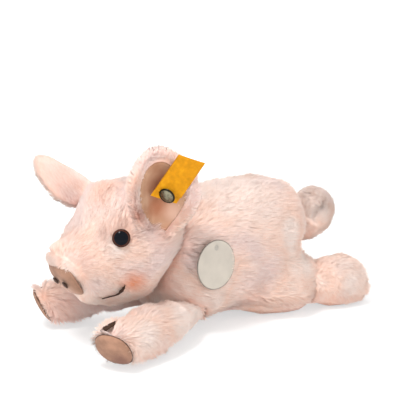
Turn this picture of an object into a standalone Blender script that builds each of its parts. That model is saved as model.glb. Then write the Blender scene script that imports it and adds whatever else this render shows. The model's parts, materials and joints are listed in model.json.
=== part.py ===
"""Plush pig lying on its belly, legs stretched out, as an assembly of sewn and stuffed pieces.

Metres, +Z up. The nose points along -Y, the pig's left is +X. The origin is the middle of the
flat patch that the belly rests on. Each skin is solid cloth and pile, so its outer face is where
the tips of the pile end.
"""
import math

import bmesh
import bpy
from mathutils import Matrix, Vector

for leftover in list(bpy.data.objects):
    bpy.data.objects.remove(leftover, do_unlink=True)

# Cloth, pile and fits
SKIN_WALL = 0.0075
GAP = 0.0003
OVERRUN = 0.002
FLOOR_CUT = 0.0005
FELT_THICK = 0.0014
INNER_BLUNT = 2.6

# Torso
TORSO_FRONT_Y = -0.047
TORSO_LENGTH = 0.110
TORSO_HALF_WIDTH = 0.0335
TORSO_AXIS_HEIGHT = 0.038
TORSO_RISE = 0.0462
TORSO_BLUNT = (3.0, 4.0)
TORSO_CORNER = 2.6
TORSO_BELLY_CORNER = 2.25
TORSO_SHARES = (
    (0.00, 0.86, 0.62, 0.98),
    (0.20, 0.98, 0.81, 1.00),
    (0.45, 1.00, 0.93, 1.00),
    (0.75, 0.99, 1.00, 1.00),
    (1.00, 0.97, 1.04, 1.00),
)
NECK_HOLE_RADIUS = 0.014

# Haunches, part of the torso's cloth
HAUNCH_FRONT = (0.015, 0.019)
HAUNCH_BACK = (0.018, 0.023)
HAUNCH_REACH = (0.069, 0.009)
HAUNCH_HALF_WIDTH = 0.0185
HAUNCH_RISE = 0.0245
HAUNCH_BLUNT = (2.1, 2.6)
HAUNCH_CORNER = 2.2
HAUNCH_SHARES = (
    (0.0, 0.85, 0.85, 1.0),
    (0.5, 1.00, 1.00, 1.0),
    (1.0, 0.95, 0.90, 1.0),
)

# Head, along a line from its back to the middle of the snout disc
HEAD_LINE = (
    (0.0, -0.0215, 0.0610),
    (0.0, -0.0540, 0.0660),
    (0.0, -0.0790, 0.0570),
    (0.0, -0.0985, 0.0435),
)
HEAD_HALF_WIDTH = 0.035
HEAD_RISE = 0.035
HEAD_FALL = 0.036
HEAD_BLUNT = (2.0, 6.0)
HEAD_CORNER = 2.1
HEAD_SHARES = (
    (0.00, 0.95, 0.95, 0.60),
    (0.25, 1.00, 1.00, 0.82),
    (0.45, 1.00, 1.00, 0.99),
    (0.62, 0.93, 0.88, 1.02),
    (0.78, 0.69, 0.58, 0.91),
    (0.90, 0.52, 0.48, 0.64),
    (1.00, 0.50, 0.48, 0.49),
)
SNOUT_PITCH = math.radians(33)
SNOUT_LEAN_SHARE = 0.7

# Snout disc, nostrils and mouth, by their place on the head
DISC_EDGE_SHARE = 0.985
NOSTRIL_SPACING = 0.012
NOSTRIL_RADIUS = 0.0019
NOSTRIL_RISE = 0.0008
MOUTH_THICK = 0.0011
MOUTH_PLACE_SHARES = (
    (0.864, -0.198),
    (0.835, -0.150),
    (0.800, -0.115),
    (0.760, -0.088),
    (0.725, -0.067),
)

# Safety eyes
EYE_PLACE_SHARE = (0.627, 0.074)
EYE_RADIUS = 0.0052
EYE_DOME_HEIGHT = 0.0034
EYE_RIM_HEIGHT = 0.0010
EYE_SINK = 0.0036
EYE_STEM_RADIUS = 0.0013
WASHER_RADIUS = 0.0045
WASHER_THICK = 0.0012
EYE_STEM_LENGTH = SKIN_WALL - EYE_SINK + WASHER_THICK + GAP * 3

# Front legs, from the seam at the chest to the sole
FRONT_ROOT_SPREAD = 0.022
FRONT_ROOT_DEPTH = 0.023
FRONT_LENGTH_LEFT = 0.079
FRONT_LENGTH_RIGHT = 0.072
FRONT_HEADING_LEFT = math.radians(20)
FRONT_HEADING_RIGHT = math.radians(17)
FRONT_SOLE_TURN = math.radians(9)
FRONT_SOLE_PITCH = math.radians(-29)
FRONT_HALF_WIDTH = 0.0135
FRONT_HALF_HEIGHT = 0.0135

# Hind legs, from the seam at the haunch to the sole
HIND_ROOT_SPREAD = 0.025
HIND_ROOT_DEPTH = 0.001
HIND_LENGTH = 0.0375
HIND_HEADING_LEFT = math.radians(2)
HIND_HEADING_RIGHT = math.radians(42)
HIND_SOLE_PITCH = math.radians(20)
HIND_HALF_WIDTH = 0.0142
HIND_HALF_HEIGHT = 0.0156

LEG_ROOT_DEPTH = 0.012
LEG_BLUNT = (2.0, 5.0)
LEG_CORNER = 2.2
LEG_LEAN_SHARE = 0.6
LEG_SHARES = (
    (0.00, 1.00, 1.00, 1.0),
    (0.40, 0.97, 0.97, 1.0),
    (0.75, 0.98, 0.99, 1.0),
    (1.00, 1.06, 1.06, 1.0),
)
LEG_SWING = math.radians(10)
SOLE_EDGE_SHARE = 0.975
CLEFT_PLACE_SHARE = 0.94
FRONT_CLEFT_TURN_SHARE = 0.33
HIND_CLEFT_TURN_SHARE = -0.31
CLEFT_SPAN_SHARES = (0.035, 0.022)
THREAD_RISE = 0.0008

# Ears, one pattern piece posed twice
EAR_LENGTH = 0.046
EAR_HALF_WIDTH = 0.0200
EAR_THICK = 0.0068
EAR_CUP = 0.0085
EAR_ROOT_DEPTH = 0.008
EAR_BOW = 0.004
EAR_BOW_SHARE = 0.5
EAR_FOLD = math.radians(12)
EAR_BLUNT = (2.4, 2.2)
EAR_CORNER = 2.0
EAR_SHARES = (
    (0.00, 0.95, 1.00, 1.00),
    (0.35, 1.02, 1.00, 1.00),
    (0.70, 0.92, 0.92, 0.92),
    (1.00, 0.66, 0.80, 0.80),
)
LINING_PLACE_SHARE = (0.52, 0.25)
LINING_SPAN_SHARES = (0.34, 0.165)
LINING_THICK = 0.0010
LEFT_EAR_BASE = (0.0300, -0.053, 0.0735)
LEFT_EAR_TIP_WAY = (0.10, -0.12, 0.98)
LEFT_EAR_FACING = (0.93, -0.26, -0.03)
RIGHT_EAR_BASE = (-0.0295, -0.0605, 0.0800)
RIGHT_EAR_TIP_WAY = (-0.84, -0.40, 0.38)
RIGHT_EAR_FACING = (-0.35, -0.45, -0.80)

# Tail, straight out of the rump and then curled up and back
TAIL_ROOT_X = 0.003
TAIL_ROOT_HEIGHT = 0.0475
TAIL_ROOT_DEPTH = 0.005
TAIL_REACH = 0.026
TAIL_CURL_RADIUS = 0.0090
TAIL_DRIFT = -0.009
TAIL_CURL_TURN = math.radians(222)
TAIL_HALF_WIDTH = 0.0095
TAIL_HALF_THICK = 0.0086
TAIL_BLUNT = (2.4, 2.4)
TAIL_SHARES = (
    (0.0, 1.00, 1.00, 1.00),
    (0.5, 0.97, 0.97, 0.97),
    (1.0, 0.74, 0.74, 0.74),
)
TAIL_SWAY = math.radians(12)

# Ribbon tag and button in the left ear
TAG_WIDTH = 0.0155
TAG_LENGTH = 0.0285
TAG_END = 0.0042
TAG_THICK = 0.0005
TAG_FOLD_RADIUS = 0.0008
TAG_PEEP = 0.0015
TAG_STAND = 0.0040
TAG_FACING = (0.87, -0.42, -0.17)
TAG_WAY = (0.36, 0.40, 0.84)
BUTTON_PLACE_SHARE = (0.476, 0.290)
BUTTON_EDGE = 0.0004
BUTTON_RADIUS = 0.0047
BUTTON_RISE = 0.0016
BUTTON_STEM_RADIUS = 0.0010
BUTTON_BACK_RADIUS = 0.0038
BUTTON_BACK_THICK = 0.0010

# Round card tag on the chest
CARD_RADIUS = 0.0142
CARD_THICK = 0.0006
CARD_HOLE_RADIUS = 0.0013
CARD_HOLE_INSET = 0.0040
CARD_THREAD_RADIUS = 0.0005
CARD_THREAD_LENGTH = 0.0060
CARD_KNOT_RADIUS = 0.0019
CARD_KNOT_RISE = 0.0008
CARD_STAND = 0.0012
CARD_PLACE_SHARE = (0.268, 0.483)

# Facets along and round the pieces
TORSO_FACETS = (24, 26)
HEAD_FACETS = (26, 26)
HAUNCH_FACETS = (13, 18)
LEG_FACETS = (13, 18)
INNER_FACETS = (10, 14)
EAR_FACETS = (10, 18)
TAIL_FACETS = (20, 14)
DISC_FACETS = (5, 24)
PAD_FACETS = (3, 18)
CLEFT_FACETS = (3, 12)
LINING_FACETS = (5, 22)
STITCH_FACETS = 8
THREAD_FACETS = 12
TURNED_FACETS = 24
DOME_STEPS = 6
FOLD_STEPS = 6
CREASE_ANGLE = math.radians(50)
SLOPE_STEP_SHARE = 0.01
NORMAL_STEP_SHARE = 0.004


def ease(rows, column, share):
    """A column of a table of shares, read at one share on a smooth curve through its rows."""
    last = len(rows) - 1
    index = 0
    while index < last - 1 and share > rows[index + 1][0]:
        index += 1

    def slope(row):
        before, after = rows[max(row - 1, 0)], rows[min(row + 1, last)]
        return (after[column] - before[column]) / (after[0] - before[0])

    low, high = rows[index], rows[index + 1]
    span = high[0] - low[0]
    t = (share - low[0]) / span
    return (
        (2 * t ** 3 - 3 * t ** 2 + 1) * low[column]
        + (t ** 3 - 2 * t ** 2 + t) * span * slope(index)
        + (3 * t ** 2 - 2 * t ** 3) * high[column]
        + (t ** 3 - t ** 2) * span * slope(index + 1)
    )


def rounded(value, corner):
    """A cosine or sine bent towards the corners of a rounded oval."""
    return math.copysign(abs(value) ** (2 / corner), value)


class Form:
    """A stuffed form: rounded oval rings along a curved line, closed by a rounded end on each side."""

    def __init__(self, line, width, rise, fall, rows, blunt, corner, facing=None, lean_share=1.0):
        self.line = [Vector(point) for point in line]
        self.width, self.rise, self.fall = width, rise, fall
        self.rows, self.blunt, self.corner = rows, blunt, corner
        self.facing = Vector(facing).normalized() if facing else None
        self.lean_share = lean_share
        self.span = (0.0, 1.0)
        self.cup = 0.0
        self.low_corner = corner

    def centre(self, share):
        """The line's place at a share of its length, on a Bezier curve."""
        share = self.span[0] + (self.span[1] - self.span[0]) * share
        points = list(self.line)
        while len(points) > 1:
            points = [a.lerp(b, share) for a, b in zip(points, points[1:])]
        return points[0]

    def heading(self, share):
        step = SLOPE_STEP_SHARE
        way = (self.centre(min(share + step, 1)) - self.centre(max(share - step, 0))).normalized()
        if self.facing and share > self.lean_share:
            lean = (share - self.lean_share) / (1 - self.lean_share)
            way = way.lerp(self.facing, lean * lean * (3 - 2 * lean)).normalized()
        return way

    def side(self, way):
        return Vector((0, 0, 1)).cross(way).normalized()

    def point(self, share, turn):
        """The surface at a share of the length, a turn from the side towards the top."""
        way = self.heading(share)
        side = self.side(way)
        up = way.cross(side)
        blunt = self.blunt[0] if share < 0.5 else self.blunt[1]
        end = max(1 - abs(2 * share - 1) ** blunt, 0) ** (1 / blunt)
        across = self.width * ease(self.rows, 1, share) * end
        if math.sin(turn) > 0:
            upward = self.rise * ease(self.rows, 2, share) * end
        else:
            upward = self.fall * ease(self.rows, 3, share) * end
        corner = self.corner if math.sin(turn) > 0 else self.low_corner
        out = across * rounded(math.cos(turn), corner)
        lift = self.cup * (out / self.width) ** 2
        return (self.centre(share) + side * out
                + up * (upward * rounded(math.sin(turn), corner) + lift))

    def normal(self, share, turn):
        step = NORMAL_STEP_SHARE
        if share < step:
            return -self.heading(0)
        if share > 1 - step:
            return self.heading(1)
        low, high = max(share - step, 0), min(share + step, 1)
        along = self.point(high, turn) - self.point(low, turn)
        around = self.point(share, turn + step) - self.point(share, turn - step)
        return around.cross(along).normalized()

    def grown(self, share, turn, grow):
        return self.point(share, turn) + self.normal(share, turn) * grow

    def shares(self, rings):
        """Shares of the length for the rings, closer together at the rounded ends."""
        for ring in range(1, rings):
            swing = math.cos(math.pi * ring / rings)
            blunt = self.blunt[0] if swing > 0 else self.blunt[1]
            yield (1 - rounded(swing, blunt)) / 2

    def rings(self, facets, grow=0.0):
        rings, sides = facets
        loops = [[self.grown(share, math.tau * side / sides, grow) for side in range(sides)]
                 for share in self.shares(rings)]
        ends = self.grown(0, 0, grow), self.grown(1, 0, grow)
        return loops, ends

    def inset(self, wall):
        """The hollow inside a skin of this wall."""
        trim = wall / (self.line[-1] - self.line[0]).length
        inner = Form(self.line, self.width - wall, self.rise - wall, self.fall - wall, self.rows,
                     tuple(min(blunt, INNER_BLUNT) for blunt in self.blunt), self.corner,
                     self.facing, self.lean_share)
        inner.span = (trim, 1 - trim)
        return inner


class Curl(Form):
    """A form whose line runs straight out of the body and then curls up and back."""

    def __init__(self, root, reach, radius, drift, turn, width, thick, rows, blunt):
        super().__init__(((0, 0, 0), (0, 0, 0)), width, thick, thick, rows, blunt, 2.0)
        self.root, self.reach, self.radius = Vector(root), reach, radius
        self.drift, self.turn = drift, turn

    def centre(self, share):
        arc = self.radius * self.turn
        walked = share * (self.reach + arc)
        spot = self.root + Vector((self.drift * share, min(walked, self.reach), 0))
        angle = max(walked - self.reach, 0) / self.radius
        return spot + Vector((0, math.sin(angle), 1 - math.cos(angle))) * self.radius

    def side(self, way):
        return (Vector((1, 0, 0)) - way * way.x).normalized()


def piece(name, mesh, material):
    item = bpy.data.objects.new(name, mesh)
    bpy.context.collection.objects.link(item)
    if material:
        mesh.materials.clear()
        mesh.materials.append(material)
    return item


def closed(name, bm, material):
    """A finished piece from a closed bmesh, faces pointing out."""
    bmesh.ops.recalc_face_normals(bm, faces=bm.faces)
    if bm.calc_volume(signed=True) < 0:
        bmesh.ops.reverse_faces(bm, faces=bm.faces)
    mesh = bpy.data.meshes.new(name)
    bm.to_mesh(mesh)
    bm.free()
    mesh.shade_smooth()
    mesh.set_sharp_from_angle(angle=CREASE_ANGLE)
    return piece(name, mesh, material)


def skin_rings(bm, loops, ends):
    """Close rings of points into one body, with a fan at each end."""
    rings = [[bm.verts.new(point) for point in loop] for loop in loops]
    sides = len(rings[0])
    for low, high in zip(rings, rings[1:]):
        for side in range(sides):
            after = (side + 1) % sides
            bm.faces.new((low[side], low[after], high[after], high[side]))
    for ring, end in zip((rings[0], rings[-1]), ends):
        tip = bm.verts.new(end)
        for side in range(sides):
            bm.faces.new((ring[side], ring[(side + 1) % sides], tip))


def form_piece(name, form, facets, material=None, grow=0.0, floor=None):
    """A form as a piece; floor is the height at which it is cut flat."""
    bm = bmesh.new()
    loops, ends = form.rings(facets, grow)
    skin_rings(bm, loops, ends)
    if floor is not None:
        geometry = list(bm.verts) + list(bm.edges) + list(bm.faces)
        result = bmesh.ops.bisect_plane(bm, geom=geometry, dist=GAP / 1000, plane_co=(0, 0, floor),
                                        plane_no=(0, 0, 1), clear_inner=True)
        rim = [edge for edge in result["geom_cut"] if isinstance(edge, bmesh.types.BMEdge)]
        bmesh.ops.edgeloop_fill(bm, edges=rim)
    return closed(name, bm, material)


def cut(target, *tools, operation="DIFFERENCE"):
    """Apply exact Booleans to a piece, then drop the tools."""
    for tool in tools:
        step = target.modifiers.new("cut", "BOOLEAN")
        step.operation = operation
        step.solver = "EXACT"
        step.object = tool
        bpy.context.view_layer.update()
        graph = bpy.context.evaluated_depsgraph_get()
        mesh = bpy.data.meshes.new_from_object(target.evaluated_get(graph))
        target.modifiers.remove(step)
        materials = list(target.data.materials)
        target.data = mesh
        mesh.materials.clear()
        for material in materials:
            mesh.materials.append(material)
        bpy.data.objects.remove(tool, do_unlink=True)


def turned(name, profile, place, axis, material, facets=TURNED_FACETS):
    """Revolve a profile of (radius, height) points round an axis through a place."""
    bm = bmesh.new()
    frame = axis.normalized().to_track_quat("Z", "Y").to_matrix().to_4x4()
    loops = []
    for radius, height in profile[1:-1]:
        loops.append([(radius * math.cos(math.tau * side / facets),
                       radius * math.sin(math.tau * side / facets), height) for side in range(facets)])
    ends = [(0, 0, profile[0][1]), (0, 0, profile[-1][1])]
    skin_rings(bm, loops, ends)
    bmesh.ops.transform(bm, matrix=Matrix.Translation(place) @ frame, verts=bm.verts)
    return closed(name, bm, material)


def surface_cap(name, form, edge_share, facets, thick, material):
    """A felt disc over the blunt end of a form, one gap above it."""
    rings, sides = facets
    bm = bmesh.new()
    step = (1 - edge_share) / rings
    layers = []
    for grow in (GAP, GAP + thick):
        shares = [edge_share + step * ring for ring in range(rings)]
        loops = [[form.grown(share, math.tau * side / sides, grow) for side in range(sides)]
                 for share in shares]
        layers.append((loops, form.grown(1, 0, grow)))
    inner, outer = layers
    loops = list(reversed(inner[0])) + outer[0]
    skin_rings(bm, loops, (inner[1], outer[1]))
    return closed(name, bm, material)


def stitch(name, form, places, thick, material, sides=STITCH_FACETS):
    """A satin stitch that follows a form through places given as a share and a turn."""
    bm = bmesh.new()
    half = thick / 2
    spots = [form.grown(share, turn * math.tau, GAP + half) for share, turn in places]
    normals = [form.normal(share, turn * math.tau) for share, turn in places]
    loops = []
    for index, (spot, normal) in enumerate(zip(spots, normals)):
        before, after = spots[max(index - 1, 0)], spots[min(index + 1, len(spots) - 1)]
        side = (after - before).cross(normal).normalized()
        loops.append([spot + (side * math.cos(math.tau * turn / sides)
                              + normal * math.sin(math.tau * turn / sides)) * half
                      for turn in range(sides)])
    skin_rings(bm, loops, (spots[0] + (spots[0] - spots[1]).normalized() * half / 2,
                           spots[-1] + (spots[-1] - spots[-2]).normalized() * half / 2))
    return closed(name, bm, material)


def plush(name, colour, roughness=0.95):
    material = bpy.data.materials.new(name)
    material.use_nodes = True
    shader = material.node_tree.nodes["Principled BSDF"]
    shader.inputs["Base Color"].default_value = (*colour, 1.0)
    shader.inputs["Roughness"].default_value = roughness
    return material


PINK = plush("pink_plush", (0.86, 0.55, 0.48))
FILLING = plush("fibre_filling", (0.88, 0.88, 0.86))
FELT = plush("tan_felt", (0.62, 0.40, 0.32))
BROWN = plush("brown_thread", (0.10, 0.035, 0.03), 0.7)
BLACK = plush("black_eye", (0.012, 0.009, 0.009), 0.08)
PLASTIC = plush("white_plastic", (0.8, 0.8, 0.78), 0.5)
VELOUR = plush("tan_velour", (0.72, 0.50, 0.40))
RIBBON = plush("yellow_ribbon", (0.95, 0.58, 0.03), 0.6)
METAL = plush("silver_metal", (0.55, 0.55, 0.52), 0.3)
METAL.node_tree.nodes["Principled BSDF"].inputs["Metallic"].default_value = 1.0
CARD = plush("cream_card", (0.86, 0.78, 0.68), 0.6)
THREAD = plush("clear_thread", (0.85, 0.82, 0.78), 0.5)


TORSO_BACK_Y = TORSO_FRONT_Y + TORSO_LENGTH
TAIL_PIVOT = (TAIL_ROOT_X, TORSO_BACK_Y, TAIL_ROOT_HEIGHT)
FRONT_ROOT = (FRONT_ROOT_SPREAD, TORSO_FRONT_Y + FRONT_ROOT_DEPTH)
HIND_ROOT = (HIND_ROOT_SPREAD, TORSO_BACK_Y - HIND_ROOT_DEPTH)


def torso_form():
    line = ((0, TORSO_FRONT_Y, TORSO_AXIS_HEIGHT), (0, TORSO_BACK_Y, TORSO_AXIS_HEIGHT))
    form = Form(line, TORSO_HALF_WIDTH, TORSO_RISE, TORSO_AXIS_HEIGHT + FLOOR_CUT, TORSO_SHARES,
                TORSO_BLUNT, TORSO_CORNER)
    form.low_corner = TORSO_BELLY_CORNER
    return form


def haunch_form(side):
    front, back = TORSO_BACK_Y - HAUNCH_REACH[0], TORSO_BACK_Y + HAUNCH_REACH[1]
    line = ((HAUNCH_FRONT[0] * side, front, HAUNCH_FRONT[1]),
            (HAUNCH_BACK[0] * side, back, HAUNCH_BACK[1]))
    fall = (HAUNCH_FRONT[1] + HAUNCH_BACK[1]) / 2 + FLOOR_CUT
    return Form(line, HAUNCH_HALF_WIDTH, HAUNCH_RISE, fall, HAUNCH_SHARES, HAUNCH_BLUNT,
                HAUNCH_CORNER)


def head_form():
    facing = (0, -math.cos(SNOUT_PITCH), -math.sin(SNOUT_PITCH))
    return Form(HEAD_LINE, HEAD_HALF_WIDTH, HEAD_RISE, HEAD_FALL, HEAD_SHARES, HEAD_BLUNT,
                HEAD_CORNER, facing, SNOUT_LEAN_SHARE)


def leg_form(side, root, way, length, half, facing):
    """A leg along the floor from its seam; way is its direction, half its half width and height."""
    height = half[1]
    ahead = Vector((way[0] * side, way[1], 0)).normalized()
    seam = Vector((root[0] * side, root[1], height))
    line = (seam - ahead * LEG_ROOT_DEPTH, seam + ahead * length)
    toe = Vector((facing[0] * side, facing[1], facing[2]))
    return Form(line, half[0], height, height + FLOOR_CUT, LEG_SHARES, LEG_BLUNT, LEG_CORNER, toe,
                LEG_LEAN_SHARE)


def aim(heading, pitch, forward):
    """A direction: heading outwards from straight ahead or back, pitch above the floor."""
    return (math.sin(heading) * math.cos(pitch), forward * math.cos(heading) * math.cos(pitch),
            math.sin(pitch))


def legs():
    """Name, side, root and form of each leg, and the turn at which its toes are split."""
    front = (FRONT_HALF_WIDTH, FRONT_HALF_HEIGHT)
    hind = (HIND_HALF_WIDTH, HIND_HALF_HEIGHT)
    sides = (("left", 1, FRONT_LENGTH_LEFT, FRONT_HEADING_LEFT, HIND_HEADING_LEFT),
             ("right", -1, FRONT_LENGTH_RIGHT, FRONT_HEADING_RIGHT, HIND_HEADING_RIGHT))
    for word, side, front_length, front_heading, hind_heading in sides:
        sole = aim(front_heading + FRONT_SOLE_TURN, FRONT_SOLE_PITCH, -1)
        yield ("front_" + word, side, FRONT_ROOT,
               leg_form(side, FRONT_ROOT, aim(front_heading, 0, -1), front_length, front, sole),
               FRONT_CLEFT_TURN_SHARE)
        sole = aim(hind_heading, HIND_SOLE_PITCH, 1)
        yield ("hind_" + word, side, HIND_ROOT,
               leg_form(side, HIND_ROOT, aim(hind_heading, 0, 1), HIND_LENGTH, hind, sole),
               HIND_CLEFT_TURN_SHARE)


def torso_solid(name, grow=0.0, floor=None):
    """The torso with its haunches, as one body."""
    body = form_piece(name, torso_form(), TORSO_FACETS, PINK, grow, floor)
    for side in (1, -1):
        haunch = form_piece(name + "_haunch", haunch_form(side), HAUNCH_FACETS, PINK, grow, floor)
        cut(body, haunch, operation="UNION")
    return body


def turned_about(item, place, axis, angle):
    """Turn a piece's mesh about an axis through a place."""
    move = Matrix.Translation(place) @ Matrix.Rotation(angle, 4, axis) @ Matrix.Translation(-place)
    item.data.transform(move)
    return item


def hang(pivot, *items):
    """Put the origins of a moving group's pieces on its joint axis."""
    for item in items:
        item.data.transform(Matrix.Translation(-pivot))
        item.location = pivot


def filling_of(name, form):
    """Fibre that fills the hollow of a form's skin, one gap inside it."""
    return form_piece(name, form.inset(SKIN_WALL + GAP * 2), INNER_FACETS, FILLING)


def copy_of(item, name):
    twin = item.copy()
    twin.data = item.data.copy()
    twin.name = name
    bpy.context.collection.objects.link(twin)
    return twin


def surface_patch(name, form, middle, spans, thick, material, facets, frame=None):
    """A thin oval piece on a form, one gap above it: middle and spans are shares and turns."""
    rings, sides = facets
    bm = bmesh.new()
    loops, tips = [], []
    for grow in (GAP, GAP + thick):
        layer = []
        for ring in range(rings, 0, -1):
            loop = []
            for side in range(sides):
                angle = math.tau * side / sides
                share = middle[0] + spans[0] * ring / rings * math.cos(angle)
                turn = middle[1] + spans[1] * ring / rings * math.sin(angle)
                loop.append(form.grown(share, turn * math.tau, grow))
            layer.append(loop)
        loops.append(layer)
        tips.append(form.grown(middle[0], middle[1] * math.tau, grow))
    skin_rings(bm, list(reversed(loops[0])) + loops[1], tips)
    if frame:
        bmesh.ops.transform(bm, matrix=frame, verts=bm.verts)
    return closed(name, bm, material)


def rod(name, start, way, radius, length, material=None):
    profile = ((0, 0), (radius, 0), (radius, length), (0, length))
    return turned(name, profile, start, way, material)


def swung(cutter, place, axis, limit):
    """Copies of a cutter turned to both limits of a joint, and the cutter as it is."""
    for angle in (-limit, 0, limit):
        yield turned_about(copy_of(cutter, "swung_cutter"), place, axis, angle)


def make_torso():
    torso = torso_solid("torso_skin", floor=0.0)
    inner = torso_form().inset(SKIN_WALL)
    hollow = form_piece("torso_hollow", inner, INNER_FACETS)
    head = head_form()
    neck_way = head.centre(0) - head.centre(0.5)
    bore = rod("neck_bore", head.centre(0.5), neck_way, NECK_HOLE_RADIUS,
               (head.centre(0) - head.centre(0.5)).length)
    cut(torso, hollow, bore)
    filling_of("torso_filling", torso_form())
    return torso


def make_head(grown):
    form = head_form()
    head = form_piece("head_skin", form, HEAD_FACETS, PINK)
    filling = filling_of("head_filling", form)
    hollow = form_piece("head_hollow", form.inset(SKIN_WALL), INNER_FACETS)
    cut(head, hollow, copy_of(grown, "neck_cutter"))
    cut(filling, copy_of(grown, "neck_cutter"))
    for word, side in (("left", 1), ("right", -1)):
        make_eye(word, side, form, head, filling)
        places = [(share, turn if side > 0 else -0.5 - turn) for share, turn in MOUTH_PLACE_SHARES]
        stitch("mouth_" + word, form, places, MOUTH_THICK, BROWN)
    surface_cap("snout_disc", form, DISC_EDGE_SHARE, DISC_FACETS, FELT_THICK, FELT)


def make_eye(word, side, form, head, filling):
    share, turn = EYE_PLACE_SHARE
    turn = turn if side > 0 else 0.5 - turn
    spot, way = form.point(share, turn * math.tau), form.normal(share, turn * math.tau)
    seat = spot - way * EYE_SINK
    bends = [math.pi / 2 * step / DOME_STEPS for step in range(DOME_STEPS + 1)]
    dome = [(EYE_RADIUS * math.sin(bend), EYE_RIM_HEIGHT + EYE_DOME_HEIGHT * math.cos(bend))
            for bend in bends]
    profile = dome + [(EYE_RADIUS, 0), (EYE_STEM_RADIUS, 0), (EYE_STEM_RADIUS, -EYE_STEM_LENGTH),
                      (0, -EYE_STEM_LENGTH)]
    turned("eye_" + word, profile, seat, way, BLACK)
    back = seat - way * (EYE_STEM_LENGTH - WASHER_THICK)
    washer = rod("eye_washer_" + word, back, -way, WASHER_RADIUS, WASHER_THICK, PLASTIC)
    cut(washer, rod("washer_bore", back + way * OVERRUN, -way, EYE_STEM_RADIUS + GAP,
                    WASHER_THICK + OVERRUN * 2))
    shelf = -EYE_STEM_LENGTH + WASHER_THICK + GAP
    bottom = shelf - WASHER_RADIUS
    room = ((0, EYE_RADIUS), (EYE_RADIUS + GAP, EYE_RADIUS), (EYE_RADIUS + GAP, -GAP),
            (EYE_STEM_RADIUS + GAP, -GAP), (EYE_STEM_RADIUS + GAP, shelf),
            (WASHER_RADIUS + GAP, shelf), (WASHER_RADIUS + GAP, bottom), (0, bottom))
    cut(head, turned("eye_room", room, seat, way, None))
    cut(filling, turned("washer_room", room, seat, way, None))


def make_nostrils():
    form = head_form()
    for word, side in (("left", 1), ("right", -1)):
        centre, way = form.grown(1, 0, GAP * 2 + FELT_THICK), form.heading(1)
        across = form.side(way)
        spot = centre + across * side * NOSTRIL_SPACING / 2
        profile = ((0, 0), (NOSTRIL_RADIUS, 0), (NOSTRIL_RADIUS, NOSTRIL_RISE / 2),
                   (NOSTRIL_RADIUS / 2, NOSTRIL_RISE), (0, NOSTRIL_RISE))
        turned("nostril_" + word, profile, spot, way, BROWN)


def make_legs(grown):
    for word, side, root, form, top_share in legs():
        pivot = Vector((root[0] * side, root[1], 0))
        skin = form_piece("leg_skin_" + word, form, LEG_FACETS, PINK, floor=0.0)
        filling = filling_of("leg_filling_" + word, form)
        cut(skin, form_piece("leg_hollow", form.inset(SKIN_WALL), INNER_FACETS))
        cut(skin, *swung(grown, pivot, Vector((0, 0, 1)), LEG_SWING))
        cut(filling, *swung(grown, pivot, Vector((0, 0, 1)), LEG_SWING))
        pad = surface_cap("sole_pad_" + word, form, SOLE_EDGE_SHARE, PAD_FACETS, FELT_THICK, FELT)
        cleft = surface_patch("hoof_cleft_" + word, form, (CLEFT_PLACE_SHARE, top_share),
                              CLEFT_SPAN_SHARES, THREAD_RISE, BROWN, CLEFT_FACETS)
        hang(pivot, skin, filling, pad, cleft)


def ear_frame(base, tip_way, facing):
    """Where an ear's own axes go: across, towards its tip, and out of its lining."""
    tip_way = Vector(tip_way).normalized()
    facing = Vector(facing)
    facing = (facing - tip_way * facing.dot(tip_way)).normalized()
    across = tip_way.cross(facing)
    turn = Matrix((across, tip_way, facing)).transposed().to_4x4()
    return Matrix.Translation(base) @ turn


def ear_form():
    form = Form(((0, -EAR_ROOT_DEPTH, 0), (0, EAR_LENGTH * EAR_BOW_SHARE, -EAR_BOW),
                 (0, EAR_LENGTH, 0)), EAR_HALF_WIDTH, EAR_THICK / 2, EAR_THICK / 2, EAR_SHARES,
                EAR_BLUNT, EAR_CORNER)
    form.cup = EAR_CUP
    return form


def make_ears(head_grown):
    form = ear_form()
    poses = {
        "left": (LEFT_EAR_BASE, LEFT_EAR_TIP_WAY, LEFT_EAR_FACING),
        "right": (RIGHT_EAR_BASE, RIGHT_EAR_TIP_WAY, RIGHT_EAR_FACING),
    }
    ears = {}
    for word, pose in poses.items():
        frame = ear_frame(*pose)
        ear = form_piece("ear_" + word, form, EAR_FACETS, PINK)
        ear.data.transform(frame)
        across = frame.to_3x3() @ Vector((1, 0, 0))
        cut(ear, *swung(head_grown, Vector(pose[0]), across, EAR_FOLD))
        lining = surface_patch("ear_lining_" + word, form, LINING_PLACE_SHARE, LINING_SPAN_SHARES,
                               LINING_THICK, VELOUR, LINING_FACETS, frame)
        cut(lining, *swung(head_grown, Vector(pose[0]), across, EAR_FOLD))
        ears[word] = (ear, lining, frame)
    return ears


def make_tail(grown):
    pivot = Vector(TAIL_PIVOT)
    root = pivot - Vector((0, TAIL_ROOT_DEPTH, 0))
    form = Curl(root, TAIL_REACH, TAIL_CURL_RADIUS, TAIL_DRIFT, TAIL_CURL_TURN,
                TAIL_HALF_WIDTH, TAIL_HALF_THICK, TAIL_SHARES, TAIL_BLUNT)
    tail = form_piece("tail", form, TAIL_FACETS, PINK)
    cut(tail, *swung(grown, pivot, Vector((0, 0, 1)), TAIL_SWAY))
    hang(pivot, tail)


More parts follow.
